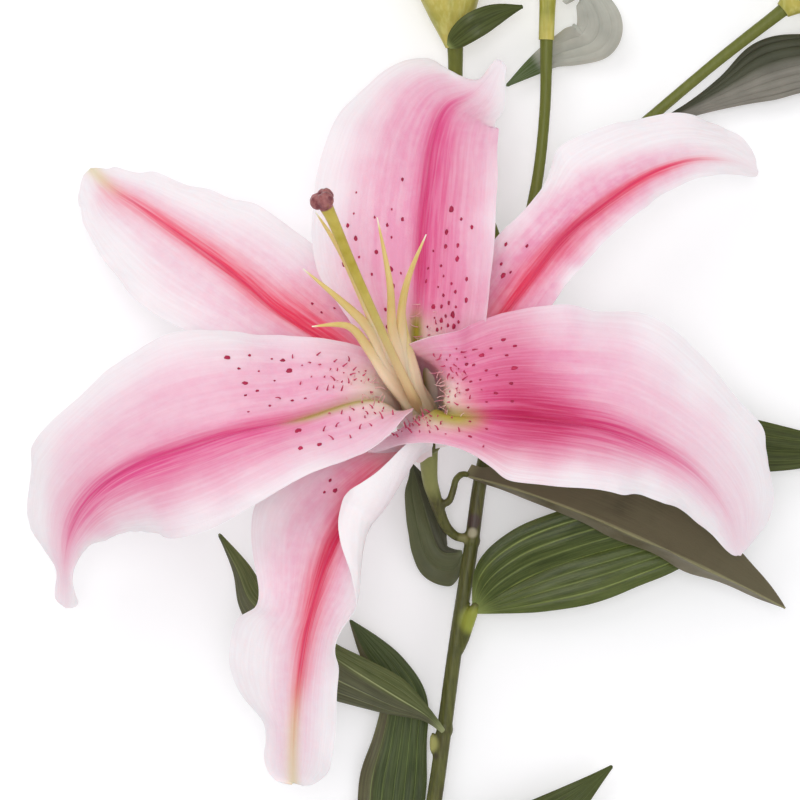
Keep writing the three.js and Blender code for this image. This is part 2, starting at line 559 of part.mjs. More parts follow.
const LEAVES = {
  // under the lower right petal, its back to the viewer and its keel up
  leaf_bract_right: {
    path: [
      [16.3, -18.8, 13.2], [21.5, -20.2, 17], [28, -21.9, 20.5], [44.3, -27.7, 25.5],
      [63, -35.8, 26], [82.5, -45, 21], [96.3, -52, 14],
    ],
    widths: [
      [0.6, 3.4], [2, 3.6], [3, 6.4], [5, 10.4], [8, 13], [9, 13], [8, 10.5], [5, 6.4], [0.3, 0.3],
    ],
    side: [-0.4, -0.85, 0], fold: [72, 18], roll: [5, 10],
  },
  leaf_broad_right: {
    path: [
      [18.5, -53.3, 9.4], [24.6, -48.9, 11.4], [32.6, -44.3, 12.2], [41.6, -40.6, 12.4],
      [51, -37.8, 12.4], [60, -35.5, 12], [69.4, -33.2, 11], [78.6, -30.6, 9], [87, -27.2, 6.5],
    ],
    widths: [
      [0.5, 0.5], [9.6, 5.6], [12.6, 9.6], [13, 11.8], [12.8, 11.8], [11.4, 10.4], [9, 8.6],
      [5.6, 5.4], [0.3, 0.3],
    ],
    side: [-0.4, 0.9, 0], fold: [16, 8], roll: [-25, -25],
  },
  leaf_behind_right: {
    path: [[27, -3.2, 8.3], [50, -6.6, 11], [75, -10.4, 12], [100, -12.8, 10], [119, -11, 6]],
    side: [0, 1, 0], reach: [8.8, 7.6],
  },
  leaf_left: {
    path: [
      [10.9, -83.3, 9.9], [6.4, -78.9, 12], [-1, -74.1, 14.6], [-10, -68.3, 16.6],
      [-19, -62.2, 17.6], [-28.5, -56, 17.2], [-37, -50.5, 15.6], [-40.6, -42.6, 13.4],
      [-45.4, -33.6, 11],
    ],
    widths: [
      [0.6, 0.6], [2, 1.9], [6.8, 4.8], [10.8, 4.2], [13.4, 3], [10, 5], [4.6, 5], [1.6, 3.2],
      [0.3, 0.3],
    ],
    side: [-0.6, -0.8, 0], fold: [-22, -12], roll: [-15, -15],
  },
  leaf_left_long: {
    path: [
      [-1.2, -134, 3.6], [-2.2, -121, 2.8], [-2.4, -109, 2.4], [-1.4, -97, 2.4], [0.2, -86, 2.8],
      [0.8, -76.5, 3.4], [-2.6, -68.5, 4.4], [-7.4, -62, 5.4], [-12.6, -55.6, 6],
    ],
    widths: [
      [1.2, 1.2], [5, 4.4], [8, 7.4], [9, 8.2], [7, 6.6], [5.8, 6.2], [5, 4.8], [3.6, 3], [0.3, 0.3],
    ],
    side: [-1, -0.15, 0], fold: [4, -2], roll: [-6, -4],
  },
  leaf_low_right: {
    path: [[8.8, -126.4, 6.3], [23, -115.4, 8.6], [38.6, -104.4, 8.5], [53.6, -92.5, 5]],
    side: [-0.6, 0.8, 0], reach: [8, 8], taper: 0.9, base: 0.5,
  },
  leaf_curled: {
    path: [
      [15.7, -38.5, 5.8], [13.2, -38.8, 5.2], [10.4, -38.2, 4.8], [8.6, -35.2, 4.8], [7, -30.4, 5],
      [5.4, -25, 5.8], [4.1, -20.5, 6.6], [2.9, -16, 8],
    ],
    widths: [
      [0.8, 0.6], [8.2, 1.4], [7.6, 2.4], [6.2, 3.4], [5.8, 4.4], [4.8, 4.2], [3.2, 3], [0.3, 0.3],
    ],
    side: [0, -1, 0], fold: [0, 8], roll: [0, 0],
  },
  bract_pale: {
    path: [
      [41.4, 99.8, 9.4], [45.6, 102.4, 11.4], [48.8, 98.4, 10.8], [50.4, 92.6, 8.6],
      [46.4, 89.4, 6.2], [40.3, 87.8, 4.6], [33.9, 84.4, 4.2], [26.9, 79.4, 5],
    ],
    widths: [[0.8, 0.8], [3, 3], [3.6, 3.4], [4.4, 3.2], [4.4, 4], [3.4, 3.4], [2.2, 2], [0.3, 0.3]],
    side: [0.9, 0.3, 0], fold: [10, 10],
  },
  leaf_top_right: {
    path: [
      [61.2, 67.4, 5.6], [70.3, 72, 4.9], [81, 77, 5], [91.4, 81.8, 5.6], [101.6, 84.6, 6.2],
      [113.4, 85.6, 6], [128, 84.5, 4.5],
    ],
    widths: [[0.8, 0.8], [1.4, 1.4], [3.6, 3.6], [8.2, 6.6], [8.2, 6.8], [5.4, 5], [0.3, 0.3]],
    side: [-0.35, 0.93, 0], fold: [0, 6],
  },
  bract_first_bud: {
    path: [[12.2, 88.4, 14.6], [17.5, 92.7, 17.4], [24.2, 96.3, 16.6], [30.6, 98.4, 14]],
    side: [-0.5, 0.85, 0], reach: [3.4, 3.4], base: 0.3,
  },
  leaf_lower_1: {
    path: [[5.2, -151, 6], [24, -147, 9.6], [43, -140, 11], [62, -128, 9], [78, -114, 4]],
    side: [-0.4, 0.9, 0], reach: [9.5, 9.5],
  },
  leaf_lower_2: {
    path: [[-4.6, -165, 5.6], [-18, -158, 9.4], [-38, -150, 11], [-58, -138, 9], [-74, -124, 4]],
    side: [-0.4, -0.9, 0], reach: [9.5, 9.5],
  },
  leaf_lower_3: {
    path: [[1.8, -185, 5.2], [20, -186, 8.6], [38, -183, 10], [58, -175, 8], [74, -163, 4]],
    side: [-0.1, 1, 0], reach: [9, 9],
  },
  leaf_lower_4: {
    path: [[-7.6, -201, 4.8], [-19, -203, 8.4], [-37, -202, 9.6], [-55, -196, 7.4], [-71, -186, 4]],
    side: [0, -1, 0], reach: [8.5, 8.5],
  },
};

const LEAF_WAVE = 6;
for (const [name, sizes] of Object.entries(LEAVES)) {
  const numbers = leafStations(sizes).map(flat);
  const form = { numbers, side: vector(sizes.side), wave: LEAF_WAVE, waves: 2.5 };
  const shape = blade(form, { thickness: LEAF_THICKNESS, rows: 14, columns: 2 });
  add(name, shape, name === 'bract_pale' ? 'pale_leaf' : 'leaf', 0.5);
}

export default group;
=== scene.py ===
"""Dresses the cut Oriental lily: fine petals, leaves, buds and stem over the plain solids.

The flower lies on a pale surface and faces up. The sizes below are millimetres in the
plant's own frame, whose origin is behind the middle of the open flower, and put_mesh
moves them to the part's frame, in metres. A blade is a petal, a sepal or a leaf.
"""
import math

import bpy
import numpy as np
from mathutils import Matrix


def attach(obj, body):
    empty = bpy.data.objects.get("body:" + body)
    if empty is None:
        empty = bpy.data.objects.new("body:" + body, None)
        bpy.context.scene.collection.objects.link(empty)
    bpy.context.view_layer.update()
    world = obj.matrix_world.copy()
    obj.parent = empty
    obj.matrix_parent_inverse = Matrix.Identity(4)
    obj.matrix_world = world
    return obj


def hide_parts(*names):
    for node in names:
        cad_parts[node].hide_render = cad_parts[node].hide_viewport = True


bl_info = {
    "name": "Cut Lily",
    "version": (1, 0, 0),
    "blender": (4, 5, 0),
    "location": "3D View > Sidebar > Lily",
    "description": "Makes the fine petals, leaves, buds and stem of a cut Oriental lily",
    "category": "Object",
}

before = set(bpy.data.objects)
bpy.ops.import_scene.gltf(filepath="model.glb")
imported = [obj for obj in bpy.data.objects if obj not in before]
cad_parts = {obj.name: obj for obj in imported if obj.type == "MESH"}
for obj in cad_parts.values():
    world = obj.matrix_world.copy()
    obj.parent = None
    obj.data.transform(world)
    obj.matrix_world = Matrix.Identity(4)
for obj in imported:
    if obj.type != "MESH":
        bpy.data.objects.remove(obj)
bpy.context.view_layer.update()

MM = 0.001
# The middle of the part's box, on the surface, in the plant's own frame.
MIDDLE = np.array([32.4, -39.5, 0.0])
ROOT = "root"
# Millimetres for each unit of a UV map, and the fine even shares that paths are smoothed on.
UV_UNIT = 200.0
PATH_SHARES = np.linspace(0, 1, 241)


def unit(vector):
    """The same direction, with a length of one."""
    vector = np.asarray(vector, float)
    return vector / np.linalg.norm(vector, axis=-1, keepdims=True)


# The open flower's foot, the way it faces, and east and north round that axis.
RECEPTACLE = np.array([6.9, -10.0, 22.0])
AXIS = unit([-0.094, 0.455, 0.883])
EAST = unit(np.array([1.0, 0.0, 0.0]) + 0.094 * AXIS)
NORTH = np.cross(AXIS, EAST)
RECEPTACLE_RADIUS = 3.7


def srgb(red, green, blue):
    """A linear colour with alpha, from the eight-bit numbers that a colour picker shows."""
    def linear(value):
        value /= 255
        return value / 12.92 if value <= 0.04045 else ((value + 0.055) / 1.055) ** 2.4

    return (linear(red), linear(green), linear(blue), 1.0)


# ------------------------------------------------------------------ curves and noise
def outward(azimuth):
    """The direction away from the flower's axis, at an angle counted from EAST."""
    angle = math.radians(azimuth)
    return EAST * math.cos(angle) + NORTH * math.sin(angle)


def funnel(azimuth, height, radius):
    """A point in the flower's funnel: height along the axis, radius away from it."""
    return list(RECEPTACLE + AXIS * height + outward(azimuth) * radius)


def blend(rows, t):
    """Catmull-Rom through rows of numbers, the rows evenly spaced over t from 0 to 1."""
    rows = np.asarray(rows, float)
    last = len(rows) - 1
    place = np.clip(np.atleast_1d(t), 0, 1) * last
    first = np.minimum(place.astype(int), last - 1)
    f = (place - first)[:, None]
    a, b, c, d = (rows[np.clip(first + k, 0, last)] for k in (-1, 0, 1, 2))
    return 0.5 * (2 * b + (c - a) * f + (2 * a - 5 * b + 4 * c - d) * f**2
                  + (3 * b - a - 3 * c + d) * f**3)


def soften(columns, reach):
    """Smooths columns of evenly spaced numbers over reach steps, and keeps their ends."""
    kernel = np.exp(-0.5 * (np.arange(-3 * reach, 3 * reach + 1) / reach) ** 2)
    kernel /= kernel.sum()
    pad = 3 * reach
    before = 2 * columns[:1] - columns[pad:0:-1]
    after = 2 * columns[-1:] - columns[-2:-pad - 2:-1]
    long = np.concatenate([before, columns, after])
    return np.stack([np.convolve(long[:, k], kernel, "valid") for k in range(long.shape[1])], 1)


def uneven(x, y, seed, terms=9):
    """Smooth unevenness between about -1 and 1, with a grain of about one unit."""
    draw = np.random.default_rng(seed)
    total = np.zeros(np.broadcast(x, y).shape)
    for _ in range(terms):
        heading, size, phase = draw.uniform(0, 2 * math.pi), draw.uniform(0.5, 1.4), draw.uniform(0, 7)
        total += np.cos(2 * math.pi * size * (x * math.cos(heading) + y * math.sin(heading)) + phase)
    return total / math.sqrt(2 * terms)


def smooth_step(low, high, value):
    """0 up to low, 1 from high, and a soft rise between them."""
    share = np.clip((value - low) / (high - low), 0, 1)
    return share * share * (3 - 2 * share)


def bump(value, centre, width):
    """1 at the centre, and fading to 0 on both sides of it."""
    return np.exp(-(((value - centre) / width) ** 2))


# ------------------------------------------------------------------ meshes
def put_mesh(name, points, faces, uv=None, masks=None, sharp=60):
    """Makes an object from points in the plant's frame, with a UV map and masks."""
    mesh = bpy.data.meshes.new(name)
    mesh.from_pydata(((np.asarray(points) - MIDDLE) * MM).tolist(), [], [list(f) for f in faces])
    for key, values in (masks or {}).items():
        mesh.attributes.new(key, "FLOAT", "POINT").data.foreach_set("value", np.ravel(values))
    if uv is not None:
        corner = np.zeros(len(mesh.loops), np.int32)
        mesh.loops.foreach_get("vertex_index", corner)
        layer = mesh.uv_layers.new(name="Lie")
        layer.data.foreach_set("uv", np.asarray(uv)[corner].ravel())
    mesh.polygons.foreach_set("use_smooth", np.ones(len(mesh.polygons), bool))
    if sharp:
        mesh.set_sharp_from_angle(angle=math.radians(sharp))
    mesh.update()
    piece = bpy.data.objects.new(name, mesh)
    bpy.context.scene.collection.objects.link(piece)
    return piece


def hand_over(piece, material, slot, *nodes):
    """Gives a finished piece its material and body, and hides the solids it stands for; its slot is not used.
    """
    if piece.data.materials:
        piece.data.materials[0] = material
    else:
        piece.data.materials.append(material)
    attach(piece, ROOT)
    if nodes:
        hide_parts(*nodes)
    return piece


def grid_faces(rows, columns, start=0, around=False):
    """Quads of a grid of points, whose last column joins the first where it goes around."""
    index = start + np.arange(rows * columns).reshape(rows, columns)
    if around:
        index = np.concatenate([index, index[:, :1]], 1)
    quads = np.stack([index[:-1, :-1], index[:-1, 1:], index[1:, 1:], index[1:, :-1]], -1)
    return quads.reshape(-1, 4)


def grid_normals(points):
    """Unit normals of a grid of points."""
    along = np.gradient(points, axis=0)
    across = np.gradient(points, axis=1)
    return unit(np.cross(along, across) + 1e-9)


def thin_body(name, middle, thickness, uv, masks):
    """A closed body on both sides of a middle surface. Its masks say which side is which."""
    rows, columns = middle.shape[:2]
    normal = grid_normals(middle)
    half = normal * thickness[..., None] / 2
    count = rows * columns
    points = np.concatenate([(middle + half).reshape(-1, 3), (middle - half).reshape(-1, 3)])
    index = np.arange(count).reshape(rows, columns)
    rim = np.concatenate([index[0, :-1], index[:-1, -1], index[-1, :0:-1], index[:0:-1, 0]])
    onward = np.roll(rim, -1)
    faces = np.concatenate([
        grid_faces(rows, columns)[:, ::-1],
        grid_faces(rows, columns, count),
        np.stack([rim, onward, onward + count, rim + count], -1),
    ])
    both = {key: np.concatenate([np.ravel(value)] * 2) for key, value in masks.items()}
    both["reverse"] = np.repeat([0.0, 1.0], count)
    return put_mesh(name, points, faces, np.concatenate([uv.reshape(-1, 2)] * 2), both)


def rings_faces(rings, sides, start=0):
    """The sides and the two ends of a body made of rings of points, and of two middles."""
    faces = [list(f) for f in grid_faces(rings, sides, start, around=True)]
    low, high = start + rings * sides, start + rings * sides + 1
    for k in range(sides):
        following = (k + 1) % sides
        faces.append([low, start + following, start + k])
        last = start + (rings - 1) * sides
        faces.append([high, last + k, last + following])
    return faces


def sweep(rows, sides, steps, shape=None):
    """A closed tube on a smooth path. Each row is x, y, z, radius.

    shape(t, angle) is a factor on the radius. Returns points, faces and the share t."""
    dense = soften(blend(rows, PATH_SHARES), 3)
    t = np.linspace(0, 1, steps + 1)
    row = np.stack([np.interp(t, PATH_SHARES, dense[:, k]) for k in range(4)], 1)
    along = unit(np.gradient(dense[:, :3], axis=0))
    along = unit(np.stack([np.interp(t, PATH_SHARES, along[:, k]) for k in range(3)], 1))
    across = np.array([0.3, 0.2, 1.0])
    angle = 2 * math.pi * (np.arange(sides) + 0.5) / sides
    points = []
    for i in range(steps + 1):
        across = unit(across - along[i] * across.dot(along[i]))
        beside = np.cross(along[i], across)
        r = row[i, 3] * (shape(t[i], angle) if shape else np.ones(sides))
        points.append(row[i, :3] + np.outer(r * np.cos(angle), across) + np.outer(r * np.sin(angle), beside))
    ends = [row[0, :3][None], row[-1, :3][None]]
    return np.concatenate(points + ends), rings_faces(steps + 1, sides), t


def gather(bodies):
    """Puts bodies of points and faces together as one."""
    points, faces, start = [], [], 0
    for body in bodies:
        points.append(body[0])
        faces += [[start + k for k in face] for face in body[1]]
        start += len(body[0])
    return np.concatenate(points), faces


def ball(centre, radii, rings=10, sides=16):
    """A ball as points and faces, its radii along x, y and z."""
    polar = np.linspace(0.12, math.pi - 0.12, rings)
    angle = 2 * math.pi * np.arange(sides) / sides
    ring = np.stack([
        np.outer(np.sin(polar), np.cos(angle)),
        np.outer(np.sin(polar), np.sin(angle)),
        np.outer(np.cos(polar), np.ones(sides)),
    ], -1)[::-1]
    ends = np.array([[0, 0, -1.0], [0, 0, 1.0]])
    points = np.concatenate([ring.reshape(-1, 3), ends]) * radii + centre
    return points, rings_faces(rings, sides)


def fused(name, bodies, voxel, smoothing):
    """Melts overlapping bodies into one closed skin."""
    piece = put_mesh(name, *gather(bodies), sharp=0)
    remesh = piece.modifiers.new("Melt", "REMESH")
    remesh.mode = "VOXEL"
    remesh.voxel_size = voxel * MM
    remesh.use_smooth_shade = True
    smooth = piece.modifiers.new("Smooth", "SMOOTH")
    smooth.factor = 0.5
    smooth.iterations = smoothing
    bpy.context.view_layer.update()
    made = bpy.data.meshes.new_from_object(piece.evaluated_get(bpy.context.evaluated_depsgraph_get()))
    piece.modifiers.clear()
    old = piece.data
    piece.data = made
    bpy.data.meshes.remove(old)
    return piece


# ------------------------------------------------------------------ blades
# A station says where the midrib passes, then for the plus and the minus side how wide
# it is, at which angle it leaves the midrib and how much further it has turned at its
# margin, and at last whether that turn is even (1) or comes near the margin (more).
def flat(station):
    """A station as one row of ten numbers."""
    at, reach, lift, curl, *onset = station
    return [*at, *reach, *lift, *curl, onset[0] if onset else 2]


# The steps that a blade's frames are worked out on, and where its foot ends.
FINE = 400
FOOT_END = (0.28, 0.45)


def blade_form(numbers, side, tip_side=None, wave=9.0, waves=5.0, round_tip=0.04, seed=0, ends=(), ease=6):
    """The frames of a blade, close together along its midrib.

    ends are rows of t and the reach of both sides there, for the shape of its tip.
    ease is how far the stations near its foot are smoothed."""
    t = np.linspace(0, 1, FINE + 1)
    dense = blend(numbers, t)
    row = soften(dense, 6)
    row += (soften(dense, ease) - row) * (1 - smooth_step(*FOOT_END, t))[:, None]
    if ends:
        places = [ends[0][0] - 0.03] + [end[0] for end in ends]
        for k in (1, 2):
            start = np.interp(places[0], t, row[:, 2 + k])
            asked = np.interp(t, places, [start] + [end[k] for end in ends])
            row[:, 2 + k] = np.where(t > places[0], asked, row[:, 2 + k])
        row[:, 3:5] = soften(row[:, 3:5], 4)
    side = np.asarray(side, float)
    tip_side = side if tip_side is None else np.asarray(tip_side, float)
    towards = side + (tip_side - side) * t[:, None] ** 2
    ripple = wave * np.sin(math.pi * t) ** 0.5
    row[:, 7] += ripple * np.sin(2 * math.pi * waves * t)
    row[:, 8] += ripple * np.cos(2 * math.pi * waves * t)
    tangent = unit(np.gradient(row[:, :3], axis=0))
    facing = unit(np.cross(tangent, towards))
    across = np.cross(facing, tangent)
    closing = np.sqrt(np.clip(1 - (np.clip(t - (1 - round_tip), 0, 1) / round_tip) ** 2, 0.0, 1))
    row[:, 3:5] = np.maximum(row[:, 3:5], 0.5) * (0.08 + 0.92 * closing[:, None])
    length = np.concatenate([[0], np.cumsum(np.linalg.norm(np.diff(row[:, :3], axis=0), axis=1))])
    return {"t": t, "row": row, "facing": facing, "across": across, "length": length, "seed": seed}


def blade_surface(form, t, s):
    """The middle surface over t along and s across, with the reach of each point's side."""
    def at(values):
        return np.stack([np.interp(t, form["t"], values[:, k]) for k in range(values.shape[1])], 1)

    row, facing, across = at(form["row"]), at(form["facing"]), at(form["across"])
    minus = s < 0
    share = np.abs(s)[None, :]
    reach = np.where(minus, row[:, 4:5], row[:, 3:4])
    lift = np.radians(np.where(minus, row[:, 6:7], row[:, 5:6]))
    curl = np.radians(np.where(minus, row[:, 8:9], row[:, 7:8]))
    steps = 16
    inner = (np.arange(steps) + 0.5) / steps
    turn = lift[..., None] + curl[..., None] * (share[..., None] * inner) ** row[:, 9, None, None]
    step = reach * share / steps
    out = np.where(minus, -1, 1) * np.cos(turn).sum(-1) * step
    up = np.sin(turn).sum(-1) * step
    place = row[:, None, :3] + across[:, None] * out[..., None] + facing[:, None] * up[..., None]
    return place, reach


def blade_lie(form, t, s, reach):
    """Signed millimetres from the midrib, and a UV map: U across, so that the veins meet at
    both ends of the blade, and V along the midrib."""
    along = np.interp(t, form["t"], form["length"])
    rib = s[None, :] * reach
    across = 0.5 + s[None, :] * reach.max(axis=0, keepdims=True) / UV_UNIT
    parts = [np.broadcast_to(part, rib.shape) for part in (across, along[:, None] / UV_UNIT)]
    return rib, np.stack(parts, -1)


# ------------------------------------------------------------------ the open flower's sizes
def petal_root(azimuth, foot=(5.2, 5.2), foot_curl=(44, 44), neck=(9.2, 9.2), neck_lift=(4, 4),
               neck_curl=(44, 44), throat=(12, 12), lift=(14, 14), curl=(12, 12), turn=0):
    """The stations in the funnel. turn moves the throat's one round the flower's axis."""
    return [
        (funnel(azimuth, 1.2, 4.1), (2.6, 2.6), (0, 0), (34, 34), 1),
        (funnel(azimuth, 13, 5.6), foot, (0, 0), foot_curl, 1),
        (funnel(azimuth + turn / 2, 25, 8.0), neck, neck_lift, neck_curl, 1),
        (funnel(azimuth + turn, 33, 13), throat, lift, curl, 1),
    ]


def sepal_root(azimuth, throat=(10.5, 10.5), height=26, roll=10):
    """The stations in the funnel. roll is the curl of the throat's plus side."""
    return [
        (funnel(azimuth, 0.8, 5.4), (3.2, 3.2), (0, 0), (32, 32), 1),
        (funnel(azimuth, 11, 7.8), (5.0, 5.0), (0, 0), (36, 36), 1),
        (funnel(azimuth, height - 6, 11.5), (7.4, 7.4), (0, 0), (26 + roll * 0.3, 26), 1),
        (funnel(azimuth, height, 18), throat, (4, 4), (roll, 10), 1),
    ]


